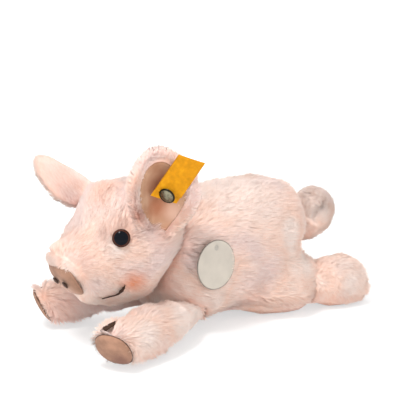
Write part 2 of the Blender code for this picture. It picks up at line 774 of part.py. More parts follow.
def make_ear_tag(ear, lining, frame):
    """The folded ribbon, and the button that holds it, through the ear and its lining."""
    form = ear_form()
    way = Vector(TAG_FACING).normalized()
    along = Vector(TAG_WAY)
    along = (along - way * along.dot(way)).normalized()
    across = along.cross(way)
    share, turn = BUTTON_PLACE_SHARE
    spot = frame @ form.grown(share, turn * math.tau, GAP + LINING_THICK)
    rear = spot + way * TAG_STAND
    depth = TAG_FOLD_RADIUS * 2
    top = TAG_LENGTH - TAG_END
    inside = TAG_FOLD_RADIUS - TAG_THICK
    bends = [math.pi * step / FOLD_STEPS for step in range(1, FOLD_STEPS)]
    outline = [(-TAG_END, depth), (top, depth)]
    outline += [(top + TAG_FOLD_RADIUS * math.sin(bend), TAG_FOLD_RADIUS * (1 + math.cos(bend)))
                for bend in bends]
    outline += [(top, 0), (-TAG_END - TAG_PEEP, 0)]
    outline += [(-TAG_END - TAG_PEEP, TAG_THICK), (top, TAG_THICK)]
    outline += [(top + inside * math.sin(bend), TAG_FOLD_RADIUS - inside * math.cos(bend))
                for bend in bends]
    outline += [(top, depth - TAG_THICK), (-TAG_END, depth - TAG_THICK)]
    bm = bmesh.new()
    near, far = [[bm.verts.new(rear + along * a + way * h + across * TAG_WIDTH / 2 * hand)
                  for a, h in outline] for hand in (-1, 1)]
    bm.faces.new(near)
    bm.faces.new(far)
    for index in range(len(outline)):
        after = (index + 1) % len(outline)
        bm.faces.new((near[index], near[after], far[after], far[index]))
    tag = closed("ear_tag", bm, RIBBON)
    front = rear + way * (depth + GAP)
    stem = depth + TAG_STAND + EAR_THICK + LINING_THICK + BUTTON_BACK_THICK + GAP * 4
    bends = [math.pi / 2 * step / DOME_STEPS for step in range(DOME_STEPS + 1)]
    profile = [(BUTTON_RADIUS * math.sin(bend), BUTTON_EDGE + BUTTON_RISE * math.cos(bend))
               for bend in bends]
    profile += [(BUTTON_RADIUS, 0), (BUTTON_STEM_RADIUS, 0), (BUTTON_STEM_RADIUS, -stem), (0, -stem)]
    button = turned("ear_button", profile, front, way, METAL)
    tail = front - way * stem
    for target in (ear, lining, tag):
        cut(target, rod("stem_bore", front, -way, BUTTON_STEM_RADIUS + GAP, stem + OVERRUN))
    back = rod("ear_button_back", tail, way, BUTTON_BACK_RADIUS, BUTTON_BACK_THICK, METAL)
    cut(back, rod("back_bore", tail - way * OVERRUN, way, BUTTON_STEM_RADIUS + GAP,
                  BUTTON_BACK_THICK + OVERRUN * 2))
    cut(ear, rod("back_pocket", tail + way * (BUTTON_BACK_THICK + GAP), -way,
                 BUTTON_BACK_RADIUS + GAP, EAR_THICK))
    hang(front, tag)
    hang(Vector(LEFT_EAR_BASE), button, back)


def make_chest_tag(torso):
    form = torso_form()
    share, turn = CARD_PLACE_SHARE
    spot, way = form.point(share, turn * math.tau), form.normal(share, turn * math.tau)
    upward = (Vector((0, 0, 1)) - way * way.z).normalized()
    rear = spot + way * CARD_STAND
    hole = rear + upward * (CARD_RADIUS - CARD_HOLE_INSET)
    card = rod("chest_tag", rear, way, CARD_RADIUS, CARD_THICK, CARD)
    cut(card, rod("card_bore", hole - way * OVERRUN, way, CARD_HOLE_RADIUS, CARD_THICK + OVERRUN * 2))
    hang(hole, card)
    front = hole + way * (CARD_THICK + GAP)
    depth = CARD_THREAD_LENGTH
    profile = ((0, CARD_KNOT_RISE), (CARD_KNOT_RADIUS / 2, CARD_KNOT_RISE),
               (CARD_KNOT_RADIUS, CARD_KNOT_RISE / 2), (CARD_KNOT_RADIUS, 0),
               (CARD_THREAD_RADIUS, 0), (CARD_THREAD_RADIUS, -depth), (0, -depth))
    turned("chest_tag_thread", profile, front, way, THREAD, THREAD_FACETS)
    cut(torso, rod("thread_bore", front, -way, CARD_THREAD_RADIUS + GAP, depth + GAP))


def build():
    torso = make_torso()
    grown = torso_solid("torso_grown", GAP)
    head_grown = form_piece("head_grown", head_form(), HEAD_FACETS, grow=GAP)
    make_head(grown)
    make_nostrils()
    make_legs(grown)
    ears = make_ears(head_grown)
    make_tail(grown)
    make_ear_tag(*ears["left"])
    for ear, lining, frame in ears.values():
        hang(frame.to_translation(), ear, lining)
    make_chest_tag(torso)
    for helper in (grown, head_grown):
        bpy.data.objects.remove(helper, do_unlink=True)


build()
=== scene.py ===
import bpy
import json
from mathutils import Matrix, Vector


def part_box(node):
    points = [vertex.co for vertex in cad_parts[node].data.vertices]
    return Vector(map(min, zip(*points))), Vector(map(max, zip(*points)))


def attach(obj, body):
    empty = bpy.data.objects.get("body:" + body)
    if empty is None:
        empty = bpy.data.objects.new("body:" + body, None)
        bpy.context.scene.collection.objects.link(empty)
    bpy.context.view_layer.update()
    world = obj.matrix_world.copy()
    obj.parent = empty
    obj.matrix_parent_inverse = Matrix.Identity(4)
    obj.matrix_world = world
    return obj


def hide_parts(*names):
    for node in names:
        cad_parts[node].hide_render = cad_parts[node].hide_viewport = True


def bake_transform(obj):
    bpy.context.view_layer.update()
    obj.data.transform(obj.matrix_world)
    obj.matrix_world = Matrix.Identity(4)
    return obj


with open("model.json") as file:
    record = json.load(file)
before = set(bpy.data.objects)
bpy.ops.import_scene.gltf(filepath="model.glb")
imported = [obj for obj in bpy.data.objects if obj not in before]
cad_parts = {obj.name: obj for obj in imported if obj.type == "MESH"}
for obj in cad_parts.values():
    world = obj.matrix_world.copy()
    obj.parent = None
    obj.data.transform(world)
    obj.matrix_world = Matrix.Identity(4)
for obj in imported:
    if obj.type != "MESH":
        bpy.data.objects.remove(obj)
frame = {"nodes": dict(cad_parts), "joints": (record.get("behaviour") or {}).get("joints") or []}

"""Looks of the plush pig: smooth skins taken from the CAD solids, a pile of mesh fibres on them,
felt, velour, embroidery, eyes and tags, in metres, -Y towards the nose, +Z up."""
import json
import math

import bmesh
import bpy
import numpy as np
from mathutils import Matrix, Vector
from mathutils.bvhtree import BVHTree

MM = 0.001
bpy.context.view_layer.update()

# Camera, fitted to the photograph's 400 x 400 frame
CAMERA_AZIMUTH = math.radians(54.99)
CAMERA_ELEVATION = math.radians(13.7)
CAMERA_DISTANCE = 777.13 * MM
CAMERA_LENS = 114.77
CAMERA_TARGET = Vector((-3.18, -3.01, 74.38)) * MM
CAMERA_BACK = Vector((math.sin(CAMERA_AZIMUTH) * math.cos(CAMERA_ELEVATION),
                      -math.cos(CAMERA_AZIMUTH) * math.cos(CAMERA_ELEVATION), math.sin(CAMERA_ELEVATION)))
CAMERA_RIGHT = Vector((math.cos(CAMERA_AZIMUTH), math.sin(CAMERA_AZIMUTH), 0))
CAMERA_UP = CAMERA_BACK.cross(CAMERA_RIGHT)
CAMERA_PLACE = CAMERA_TARGET + CAMERA_BACK * CAMERA_DISTANCE

# Skins
VOXEL = 1.3 * MM
FACET_ROUNDS = 26
LEG_START = {"front": 24.0 * MM, "hind": 11.5 * MM}
FLOOR_CLEARANCE = 0.15 * MM

# Pile, by its height over the backing cloth
BODY_PILE = 3.3 * MM
FACE_PILE = 2.3 * MM
SNOUT_PILE = 1.5 * MM
LEG_PILE = 3.0 * MM
EAR_PILE = 2.2 * MM
TAIL_PILE = 2.6 * MM
FELT_PILE = 0.2 * MM
FELT_ZONE = 2.4 * MM
EYE_ZONE = 9.0 * MM
FIBRE_WIDTH = 0.36 * MM
TUFT_GATHER = 0.10
FIBRE_COUNTS = {"torso": 100000, "head": 52000, "leg": 19000, "ear": 14000, "tail": 13000}
BURIED = 2.5 * MM
SOLE_REACH = 18 * MM
SOLE_LEVEL = 1.8 * MM
SNOUT_REACH = 20 * MM
MOUTH_GAP = 1.5 * MM
TOE_GAP = 1.3 * MM
CARD_PRESS = (14.4 * MM, -0.7 * MM)

# Hollows and, where negative, swells of the stuffing: pixel where the camera sees them, radius, depth, in mm
TORSO_HOLLOWS = (
    ((273, 283), 9, 2.2), ((262, 296), 7, 1.4), ((246, 287), 8, -1.0), ((283, 187), 15, -1.6),
    ((235, 180), 26, -0.7), ((184, 237), 8, -3.0), ((208, 314), 6, -1.6), ((293, 301), 12, -4.4),
    ((303, 301), 8, -3.6), ((234, 309), 15, 2.6), ((258, 312), 8, 1.2), ((306, 248), 9, 4.4), ((250, 174), 13, 1.3),
    ((212, 184), 11, -1.6),
)
HEAD_HOLLOWS = (
    ((56, 251), 9, -3.6), ((68, 223), 10, 4.0), ((50, 263), 7, -1.4), ((105, 301), 8, -1.4), ((91, 296), 9, -4.0),
    ((90, 184), 9, -1.2), ((140, 213), 6, 1.6),
)
LEG_HOLLOWS = {
    "front_left": (((99, 330), 7, -3.0), ((112, 321), 8, -2.4), ((137, 311), 11, -3.2), ((178, 346), 14, 1.2),
                   ((204, 315), 11, 3.6)),
    "front_right": (((42, 289), 9, -2.8),),
    "hind_left": (((342, 260), 22, -2.4), ((330, 301), 12, 1.2)),
    "hind_right": (),
}
TAIL_HOLLOWS = (((316, 188), 9, 1.0),)
ROOT_TAPER = 0.60
LEG_ROOT = -5 * MM
LEG_LIFT = {"left": 5.0 * MM, "right": 7.0 * MM}
LEG_LIFT_SPAN = (32 * MM, 70 * MM)
LEG_LIFT_TOP = 22 * MM
TAIL_START = 6 * MM
TAIL_ROOT = -7 * MM
TAIL_ROUNDS = 60
TAIL_SWELL = 2.0 * MM
TAIL_CORE = (Vector((0.0, 82.6, 61.4)) * MM, 10.0 * MM, 1.08)
BELLY_TUCK = 4.2 * MM
BELLY_TUCK_SPAN = (4 * MM, 16 * MM)
BELLY_TUCK_REACH = 60 * MM
BELLY_LIFT = 2.8 * MM
BELLY_LIFT_SPAN = (5 * MM, 20 * MM)
BELLY_LIFT_PLACE = (9 * MM, 22 * MM)
HAUNCH_DROP = 3.6 * MM
HAUNCH_DROP_START = (57 * MM, 66 * MM)
HAUNCH_DROP_LOW = (24 * MM, 34 * MM)
HAUNCH_DROP_HIGH = (42 * MM, 52 * MM)
FACING_DOWN = (-0.35, -0.95)

# Shade in the folds
SHADE_RAYS = 12
SHADE_REACH = 26 * MM
SHADE_GAIN = 1.35
SHADE_OFF = 0.06
TAIL_SHADE = 0.4
GOLDEN_TURN = 2.39996

# Eyes
EYE_RADIUS = 5.2 * MM
EYE_RIM = 1.0 * MM
EYE_DOME_RISE = 3.0 * MM
EYE_DOME = EYE_RIM + EYE_DOME_RISE
EYE_SUNK = {"left": 0.3 * MM, "right": 4.2 * MM}

# Ears
EAR_LENGTH = 45.0 * MM
EAR_ROOT_DEPTH = 9.0 * MM
EAR_HALF_WIDTH = 18.7 * MM
EAR_WIDTHS = {"left": ((0.0, 0.2, 0.45, 0.75, 1.0), (0.42, 0.82, 1.02, 0.97, 0.66)),
              "right": ((0.0, 0.2, 0.45, 0.75, 1.0), (0.80, 1.00, 0.96, 0.80, 0.50))}
EAR_BLUNT = 2.3
EAR_BOW = 4.0 * MM
EAR_CUP = 10.0 * MM
EAR_PINCH = 6.0 * MM
EAR_SHEET = 1.6 * MM
EAR_ROLL = 2.8 * MM
LINING_MIDDLE = 0.47
LINING_SHARES = (0.39, 0.80)
LINING_RISE = 0.9 * MM
# Painted shade in the depth of each lining's cup and painted light where it meets the light: share of the ear's length
# and half width, reach in mm, colour
LINING_PAINTED_LIGHT_AND_SHADE = (
    ((0.56, 0.05), 15, (0.26, 0.070, 0.026)), ((0.34, -0.15), 11, (0.34, 0.105, 0.045)),
    ((0.26, 0.62), 11, (0.66, 0.43, 0.34)), ((0.08, 0.20), 8, (0.42, 0.17, 0.10)),
)

# Tags
CARD_RADIUS = 14.8 * MM
CARD_TURN = math.radians(17)
RIBBON_WIDTH = 15.6 * MM
RIBBON_ACROSS = (CAMERA_RIGHT * 0.952 - CAMERA_UP * 0.305 - CAMERA_BACK * 0.30).normalized()
RIBBON_RISE = (CAMERA_RIGHT * 0.572 + CAMERA_UP * 0.82 + CAMERA_BACK * 0.26).normalized()
RIBBON_SHIFT = (CAMERA_RIGHT * -1.9 + CAMERA_UP * 0.9) * MM
RIBBON_TOP = 25.0 * MM
RIBBON_END = -1.0 * MM
RIBBON_PEEP = 4.5 * MM
RIBBON_NOTCH = 2.6 * MM
RIBBON_GAP = 1.2 * MM
RIBBON_BEND = 1.0 * MM
BUTTON_RADIUS = 4.8 * MM
BUTTON_AXIS = (CAMERA_BACK * 0.72 - CAMERA_RIGHT * 0.40 - CAMERA_UP * 0.56).normalized()
BUTTON_LIFT = 1.7 * MM

# Stitched mouth and split toes: pixel where the camera sees each point, width in mm
MOUTH_LINE = (
    ((102.0, 298.4), 0.25), ((106.0, 297.4), 0.40), ((111.0, 296.0), 0.55), ((115.0, 295.0), 0.85),
    ((118.6, 293.4), 1.50), ((121.4, 290.6), 2.20), ((123.4, 287.8), 1.80), ((124.8, 285.0), 0.60),
)
TOE_LINE = (
    ((101.0, 331.6), 1.2), ((103.6, 330.0), 3.0), ((106.4, 328.4), 4.2), ((109.0, 327.2), 3.0),
    ((111.4, 325.4), 3.6), ((113.4, 323.8), 2.4), ((115.2, 322.2), 0.6),
)
STITCH_LIFT = 0.3 * MM
HIDDEN_TOE_SINK = 2.6 * MM
HIDDEN_TOE_SHARE = 0.7
MOUTH_THICK = 0.8 * MM
TOE_THICK = 1.2 * MM
NOSTRIL_RADIUS = 2.4 * MM
NOSTRIL_SHIFT = {"left": -0.3 * MM, "right": -1.2 * MM}
NOSTRIL_DROP = 0.6 * MM
SNOUT_CROWN = 2.5 * MM
SNOUT_WIDEN = 2.0 * MM
SNOUT_WIDEN_WAY = (0.57, -0.82)
SNOUT_SINK = 0.9 * MM
SOLE_SINK = 0.5 * MM
# Painted shade on the top of the snout disc, under the fur over it, and painted light on its lower part: rise over the
# disc's middle, reach, colour
SNOUT_PAINTED_SHADE_AND_LIGHT = ((9 * MM, 12 * MM, (0.16, 0.065, 0.04)), (-9 * MM, 13 * MM, (0.68, 0.45, 0.36)))
# Painted shade along the lower edge of the front left sole: place, reach, colour
SOLE_PAINTED_SHADE = (Vector((52.0, -94.5, 6.4)) * MM, 10 * MM, (0.12, 0.045, 0.04))
SEAM_THREAD = 0.22 * MM

# Colours, linear
CREAM = (1.0, 0.86, 0.79)
PINK = (0.99, 0.75, 0.66)
PEACH = (0.99, 0.69, 0.56)
MAUVE = (0.90, 0.70, 0.66)
SALMON = (0.98, 0.55, 0.41)
ROSE = (0.86, 0.58, 0.50)
SHADE = (0.44, 0.22, 0.18)
# Painted shade in the folds: the plush colour is multiplied towards this as far as its fold shade says
PAINTED_FOLD_SHADE = (0.97, 0.58, 0.44)
# Painted shade for creases, the ears' roots, under the chin and under a sole
CREASE_SHADE = (0.52, 0.19, 0.12)
BLUSH = (0.93, 0.29, 0.10)
DEEP = (0.95, 0.76, 0.66)
TIP = (1.0, 0.92, 0.87)
FELT = (0.32, 0.175, 0.115)
VELOUR = (0.40, 0.205, 0.12)
VELOUR_LIGHT = (0.56, 0.35, 0.23)
BROWN = (0.034, 0.015, 0.008)
YELLOW = (0.60, 0.245, 0.002)
YELLOW_PALE = (0.70, 0.33, 0.006)
CARD = (0.50, 0.45, 0.385)
SILVER = (0.30, 0.275, 0.19)
PUPIL = (0.004, 0.005, 0.008)
IRIS = ((0.82, (0.075, 0.026, 0.016)), (0.95, (0.040, 0.014, 0.010)))

# Dyed parts of the plush, with painted shade in folds and shaded places and painted light on lit places: pixel where
# the camera sees them, reach in mm, strength, colour
DYE_AND_PAINTED_LIGHT = (
    ((240, 195), 36, 0.75, CREAM), ((262, 215), 26, 0.45, CREAM), ((105, 192), 17, 0.75, SALMON),
    ((160, 235), 15, 0.45, SALMON), ((106, 234), 10, 0.65, SHADE), ((66, 258), 8, 0.55, MAUVE),
    ((78, 250), 18, 0.45, ROSE), ((56, 176), 22, 0.32, SHADE), ((141, 309), 8, 0.60, CREASE_SHADE),
    ((68, 190), 15, 0.55, SHADE), ((120, 225), 9, 0.50, SHADE), ((134, 236), 6, 0.45, SHADE),
    ((152, 223), 9, 0.75, SHADE), ((166, 224), 5, 0.80, CREASE_SHADE), ((58, 176), 17, 0.90, ROSE),
    ((72, 197), 9, 0.50, SHADE), ((121, 357), 9, 0.80, CREASE_SHADE), ((80, 240), 10, 0.55, SALMON),
    ((96, 284), 12, 0.75, MAUVE), ((140, 213), 9, 0.90, CREASE_SHADE), ((168, 286), 15, 0.65, SALMON),
    ((150, 305), 13, 0.60, SHADE), ((84, 262), 9, 0.60, ROSE), ((145, 338), 15, 0.95, TIP),
    ((250, 296), 16, 0.70, SALMON), ((62, 308), 17, 0.65, SALMON), ((340, 297), 12, 0.50, SALMON),
    ((318, 200), 13, 0.80, CREAM), ((345, 268), 14, 0.70, CREAM), ((306, 232), 10, 0.80, SALMON),
)
BLUSH_SPOT = Vector((28.5, -70.1, 40.5)) * MM
BLUSH_SIZE = 12.0 * MM

# Light
WORLD_LIGHT = 0.67
LAMPS = (
    ("key", (0.55, -1.05, 0.72), 0.9, 1.8),
    ("side", (1.15, 0.20, 0.56), 0.8, 2.7),
    ("fill", (0.95, -0.80, 0.16), 0.9, 4.8),
    ("top", (-0.35, 0.15, 1.1), 0.7, 2.5),
    ("back", (-0.9, 0.95, 0.55), 0.9, 2.0),
)
LAMP_AIM = (0, 0, 0.04)

UP = np.array([0.0, 0.0, 1.0])
WHITE = (1.0, 1.0, 1.0)


# Materials

def material(name, **values):
    """A Principled material whose constant values sit on the shader's own sockets."""
    made = bpy.data.materials.new(name)
    made.use_nodes = True
    shader = made.node_tree.nodes["Principled BSDF"]
    for key, value in values.items():
        socket = shader.inputs[key.replace("_", " ")]
        colour = isinstance(value, tuple) and socket.type == "RGBA"
        socket.default_value = (*value, 1.0) if colour else value
    return made


def node(made, kind, links=(), **values):
    """Adds a node; values set its sockets or its properties, links come in as (socket, output)."""
    tree = made.node_tree
    added = tree.nodes.new(kind)
    for key, value in values.items():
        name = key.replace("_", " ")
        if name in added.inputs:
            added.inputs[name].default_value = value
        else:
            setattr(added, key, value)
    for socket, output in links:
        tree.links.new(output, added.inputs[socket])
    return added


def into(made, socket, output):
    made.node_tree.links.new(output, made.node_tree.nodes["Principled BSDF"].inputs[socket])


def place(made):
    """The object-space position, which is also the place in the CAD's frame."""
    return node(made, "ShaderNodeTexCoord").outputs["Object"]


def noise(made, size, detail=3.0, roughness=0.55, vector=None):
    return node(made, "ShaderNodeTexNoise", [("Vector", vector or place(made))],
                Scale=1 / size, Detail=detail, Roughness=roughness).outputs["Fac"]


def ramp(made, factor, stops):
    """A colour ramp through (position, colour) stops."""
    added = node(made, "ShaderNodeValToRGB", [("Fac", factor)])
    bar = added.color_ramp.elements
    while len(bar) < len(stops):
        bar.new(0.5)
    for element, (position, colour) in zip(bar, stops):
        element.position = position
        element.color = (*colour, 1.0)
    return added.outputs["Color"]


def blend_colour(made, factor, low, high, kind="MIX"):
    """Mixes two colours, each an output or a constant."""
    mixer = node(made, "ShaderNodeMix", data_type="RGBA", blend_type=kind)
    tree = made.node_tree
    for index, value in ((0, factor), (6, low), (7, high)):
        if isinstance(value, bpy.types.NodeSocket):
            tree.links.new(value, mixer.inputs[index])
        else:
            mixer.inputs[index].default_value = value if index == 0 else (*value, 1.0)
    return mixer.outputs[2]


def arithmetic(made, operation, first, second):
    """A sum on two values, each an output or a constant."""
    added = node(made, "ShaderNodeMath", operation=operation)
    for index, value in enumerate((first, second)):
        if isinstance(value, bpy.types.NodeSocket):
            made.node_tree.links.new(value, added.inputs[index])
        else:
            added.inputs[index].default_value = value
    return added.outputs[0]


def tinted(made, base, tint, mask, strength, kind="MIX"):
    """Lays a tint over a base as far as a mask and a strength say."""
    return blend_colour(made, arithmetic(made, "MULTIPLY", mask, strength), base, tint, kind)


def attribute(made, name, output="Fac"):
    return node(made, "ShaderNodeAttribute", attribute_name=name).outputs[output]


def scaled(colour, factor):
    return tuple(min(value * factor, 1.0) for value in colour)


def seen_rays(made):
    """1 for what the camera sees straight, mirrored or through something clear."""
    path = node(made, "ShaderNodeLightPath").outputs
    seen = arithmetic(made, "MAXIMUM", path["Is Camera Ray"], path["Is Glossy Ray"])
    return arithmetic(made, "MAXIMUM", seen, path["Is Transmission Ray"])


def near(made, spot, size):
    """1 at a spot, falling smoothly to 0 at a distance."""
    gap = node(made, "ShaderNodeVectorMath", [(0, place(made))], operation="DISTANCE")
    gap.inputs[1].default_value = spot
    away = node(made, "ShaderNodeMapRange", [("Value", gap.outputs["Value"])],
                interpolation_type="SMOOTHSTEP", From_Max=size, To_Min=1.0, To_Max=0.0)
    return away.outputs[0]


def bump(made, height, strength, distance):
    added = node(made, "ShaderNodeBump", [("Height", height)], Strength=strength, Distance=distance)
    into(made, "Normal", added.outputs["Normal"])


def plush_colour(made):
    """Dyed plush: broad peach and mauve clouds, spots of dye, painted shade and painted light, finer mottling, a blush
    by the mouth, and painted shade in the folds.
    """
    broad = noise(made, 34 * MM, 1.5, 0.5)
    colour = ramp(made, broad, ((0.36, MAUVE), (0.46, PINK), (0.55, PEACH), (0.66, CREAM)))
    # Dyed spots, painted shade and painted light laid on the plush
    for pixel, reach, strength, tint in DYE_AND_PAINTED_LIGHT:
        spot, _ = seen_at(pixel)
        for side in (1, -1):
            here = near(made, (spot.x * side, spot.y, spot.z), reach * MM)
            colour = tinted(made, colour, tint, here, strength)
    colour = tinted(made, colour, CREAM, noise(made, 5 * MM, 2.0), 0.22)
    for side in (1, -1):
        here = near(made, BLUSH_SPOT * Vector((side, 1, 1)), BLUSH_SIZE)
        colour = tinted(made, colour, BLUSH, here, 0.95)
    # Painted shade: the fold shade carried in the fibre attribute multiplies the colour towards a warm tone
    shade = node(made, "ShaderNodeSeparateColor", [("Color", attribute(made, "fibre", "Color"))]).outputs[2]
    return blend_colour(made, shade, colour, PAINTED_FOLD_SHADE, "MULTIPLY")


def skin_material():
    made = material("plush_backing", Roughness=0.95, Sheen_Weight=0.3, Sheen_Roughness=0.5)
    # Painted shade: the backing under the pile is multiplied darker towards peach
    painted_depth_shade = blend_colour(made, 0.25, plush_colour(made), PEACH, "MULTIPLY")
    into(made, "Base Color", painted_depth_shade)
    bump(made, noise(made, 0.7 * MM, 2.0), 0.6, 0.4 * MM)
    return made


def fibre_material():
    """Plush fibres: deeper colour at the root, paler tips, each fibre a little different."""
    made = material("plush_fibres", Roughness=0.75, Sheen_Weight=0.5, Sheen_Roughness=0.5,
                    Sheen_Tint=(1.0, 0.86, 0.78))
    split = node(made, "ShaderNodeSeparateColor", [("Color", attribute(made, "fibre", "Color"))])
    along, chance = split.outputs[0], split.outputs[1]
    tone = tinted(made, plush_colour(made), DEEP, chance, 0.35, "MULTIPLY")
    rooted = tinted(made, tone, DEEP, arithmetic(made, "SUBTRACT", 1.0, along), 0.25, "MULTIPLY")
    pale = arithmetic(made, "MULTIPLY", arithmetic(made, "SUBTRACT", 1.0, chance), along)
    into(made, "Base Color", tinted(made, rooted, TIP, pale, 0.45))
    return made


def napped(name, roughness, light, stops, cloud, fleck, nap, relief, spots, strength):
    """Felt or velour: a clouded colour with spots of painted shade and painted light, and a nap of flecks that also
    gives its relief.
    """
    made = material(name, Roughness=roughness, Sheen_Weight=0.12, Sheen_Roughness=0.5, Specular_IOR_Level=0.2)
    base, flecks = ramp(made, noise(made, *cloud), stops), noise(made, *fleck)
    for spot, reach, tint in spots:
        base = tinted(made, base, tint, near(made, spot, reach), strength)
    into(made, "Base Color", tinted(made, base, light, flecks, nap))
    bump(made, flecks, *relief)
    return made


def felt_material():
    light = scaled(FELT, 1.35)
    # Painted shade and painted light on the snout disc, painted shade on the edge of a sole
    spots = [(Vector(SNOUT_CENTRE) + Vector((0, 0, rise)), reach, tint) for rise, reach, tint in SNOUT_PAINTED_SHADE_AND_LIGHT]
    return napped("tan_felt", 0.92, light, ((0.3, scaled(FELT, 0.72)), (0.5, FELT), (0.72, light)),
                  (6 * MM, 3.0), (0.5 * MM, 4.0, 0.7), 0.4, (0.7, 0.25 * MM), spots + [SOLE_PAINTED_SHADE], 0.8)


def velour_material():
    """Velour of the ears: painted light makes it creamy where it meets the light, painted shade makes it orange-brown
    in the depth of the cup.
    """
    # Painted shade and painted light in spots on each lining
    spots = [(ear.sheet(share, across, EAR_SHEET), reach * MM, tint)
             for ear in EARS.values() for (share, across), reach, tint in LINING_PAINTED_LIGHT_AND_SHADE]
    return napped("tan_velour", 0.9, VELOUR_LIGHT, ((0.32, VELOUR), (0.7, VELOUR_LIGHT)),
                  (9 * MM, 2.0), (0.45 * MM, 3.0, 0.7), 0.18, (0.5, 0.2 * MM), spots, 0.85)


def spun(name, size, stops, **values):
    """A thread with light and dark flecks."""
    made = material(name, **values)
    into(made, "Base Color", ramp(made, noise(made, size, 2.0), stops))
    return made


def eye_material():
    """Moulded eye: a black pupil under clear gloss with a dark brown ring round it."""
    made = material("black_eye", Roughness=0.06, Specular_IOR_Level=0.09)
    into(made, "Base Color", ramp(made, attribute(made, "ring"), ((0.0, PUPIL), (0.74, PUPIL), *IRIS)))
    scuff = noise(made, 2.5 * MM, 4.0, 0.7)
    into(made, "Roughness", arithmetic(made, "ADD", arithmetic(made, "MULTIPLY", scuff, 0.05), 0.03))
    return made


def ribbon_material():
    """Satin-edged woven ribbon: fine weft ribs across, finer warp along."""
    made = material("yellow_ribbon", Roughness=0.6, Sheen_Weight=0.03, Specular_IOR_Level=0.15)
    weave = node(made, "ShaderNodeUVMap", uv_map="weave").outputs["UV"]
    weft, warp = (node(made, "ShaderNodeTexWave", [("Vector", weave)], bands_direction=way, Scale=scale,
                       Distortion=bend).outputs["Fac"] for way, scale, bend in (("Y", 2.2, 0.4), ("X", 1.3, 0.3)))
    rib = arithmetic(made, "MULTIPLY", weft, warp)
    base = ramp(made, noise(made, 3 * MM, 3.0), ((0.3, scaled(YELLOW, 0.8)), (0.55, YELLOW), (0.8, YELLOW_PALE)))
    into(made, "Base Color", tinted(made, base, YELLOW_PALE, rib, 0.25))
    bump(made, rib, 0.35, 0.08 * MM)
    return made


def rimmed(made, base, start, end, dark):
    """A base colour that goes dark from one share of the radius to another."""
    rim = ramp(made, attribute(made, "ring"), ((0.0, WHITE), (start, WHITE), (end, dark)))
    into(made, "Base Color", blend_colour(made, 1.0, base, rim, "MULTIPLY"))


def card_material():
    made = material("cream_card", Roughness=0.48)
    fibre = noise(made, 0.8 * MM, 4.0, 0.7)
    light = scaled(CARD, 1.1)
    base = ramp(made, noise(made, 11 * MM, 2.0), ((0.3, scaled(CARD, 0.92)), (0.7, light)))
    rimmed(made, tinted(made, base, light, fibre, 0.2), 0.955, 0.98, (0.35, 0.33, 0.32))
    bump(made, fibre, 0.15, 0.05 * MM)
    return made


def metal_material():
    """Worn nickel, darker towards the rim of a button."""
    made = material("silver_metal", Metallic=1.0, Roughness=0.3)
    tarnish = noise(made, 1.6 * MM, 4.0, 0.65)
    face = ramp(made, tarnish, ((0.3, scaled(SILVER, 0.6)), (0.65, SILVER)))
    rimmed(made, face, 0.74, 0.86, (0.10, 0.10, 0.09))
    into(made, "Roughness", arithmetic(made, "ADD", arithmetic(made, "MULTIPLY", tarnish, 0.3), 0.15))
    bump(made, tarnish, 0.15, 0.1 * MM)
    return made


def floor_material():
    """Pale matt floor that the camera sees as white apart from the object's shadow."""
    made = material("floor", Roughness=0.9, Emission_Color=(1, 1, 1))
    seen = seen_rays(made)
    gap = node(made, "ShaderNodeVectorMath", [(0, place(made))], operation="LENGTH").outputs["Value"]
    away = node(made, "ShaderNodeMapRange", [("Value", gap)], From_Min=0.12, From_Max=0.7, To_Min=0.58, To_Max=1.0)
    into(made, "Emission Strength", arithmetic(made, "MULTIPLY", away.outputs[0], seen))
    into(made, "Base Color", blend_colour(made, seen, (0.92, 0.92, 0.92), (0.46, 0.46, 0.46)))
    return made


# Meshes

def mesh_arrays(mesh):
    """Vertex places, vertex normals and triangles of a mesh."""
    count = len(mesh.vertices)
    places = np.empty(count * 3)
    mesh.vertices.foreach_get("co", places)
    normals = np.empty(count * 3)
    mesh.vertex_normals.foreach_get("vector", normals)
    mesh.calc_loop_triangles()
    triangles = np.empty(len(mesh.loop_triangles) * 3, dtype=np.int64)
    mesh.loop_triangles.foreach_get("vertices", triangles)
    return places.reshape(-1, 3), normals.reshape(-1, 3), triangles.reshape(-1, 3)


def add_object(name, mesh, made):
    item = bpy.data.objects.new(name, mesh)
    bpy.context.collection.objects.link(item)
    mesh.materials.clear()
    mesh.materials.append(made)
    return item


def evaluated(item):
    """The item's mesh with its modifiers applied; the item goes."""
    bpy.context.view_layer.update()
    graph = bpy.context.evaluated_depsgraph_get()
    mesh = bpy.data.meshes.new_from_object(item.evaluated_get(graph))
    bpy.data.objects.remove(item, do_unlink=True)
    return mesh


def cad_vertices(name):
    """Places of all vertices of a CAD node."""
    return mesh_arrays(frame["nodes"][name].data)[0]


def finished(bm, name, sharp=None):
    """The bmesh as a mesh, shaded smooth with sharp edges from an angle in degrees."""
    mesh = bpy.data.meshes.new(name)
    bm.to_mesh(mesh)
    bm.free()
    if sharp is not None:
        mesh.shade_smooth()
        if sharp:
            mesh.set_sharp_from_angle(angle=math.radians(sharp))
    return mesh


def walls(bm, rings):
    """Faces between neighbouring rings of vertices."""
    for low, high in zip(rings, rings[1:]):
        for k in range(len(low)):
            bm.faces.new((low[k], low[(k + 1) % len(low)], high[(k + 1) % len(low)], high[k]))


def turned_out(bm):
    """Faces of a closed form all look outwards."""
    bmesh.ops.recalc_face_normals(bm, faces=bm.faces)
    if bm.calc_volume(signed=True) < 0:
        bmesh.ops.reverse_faces(bm, faces=bm.faces)


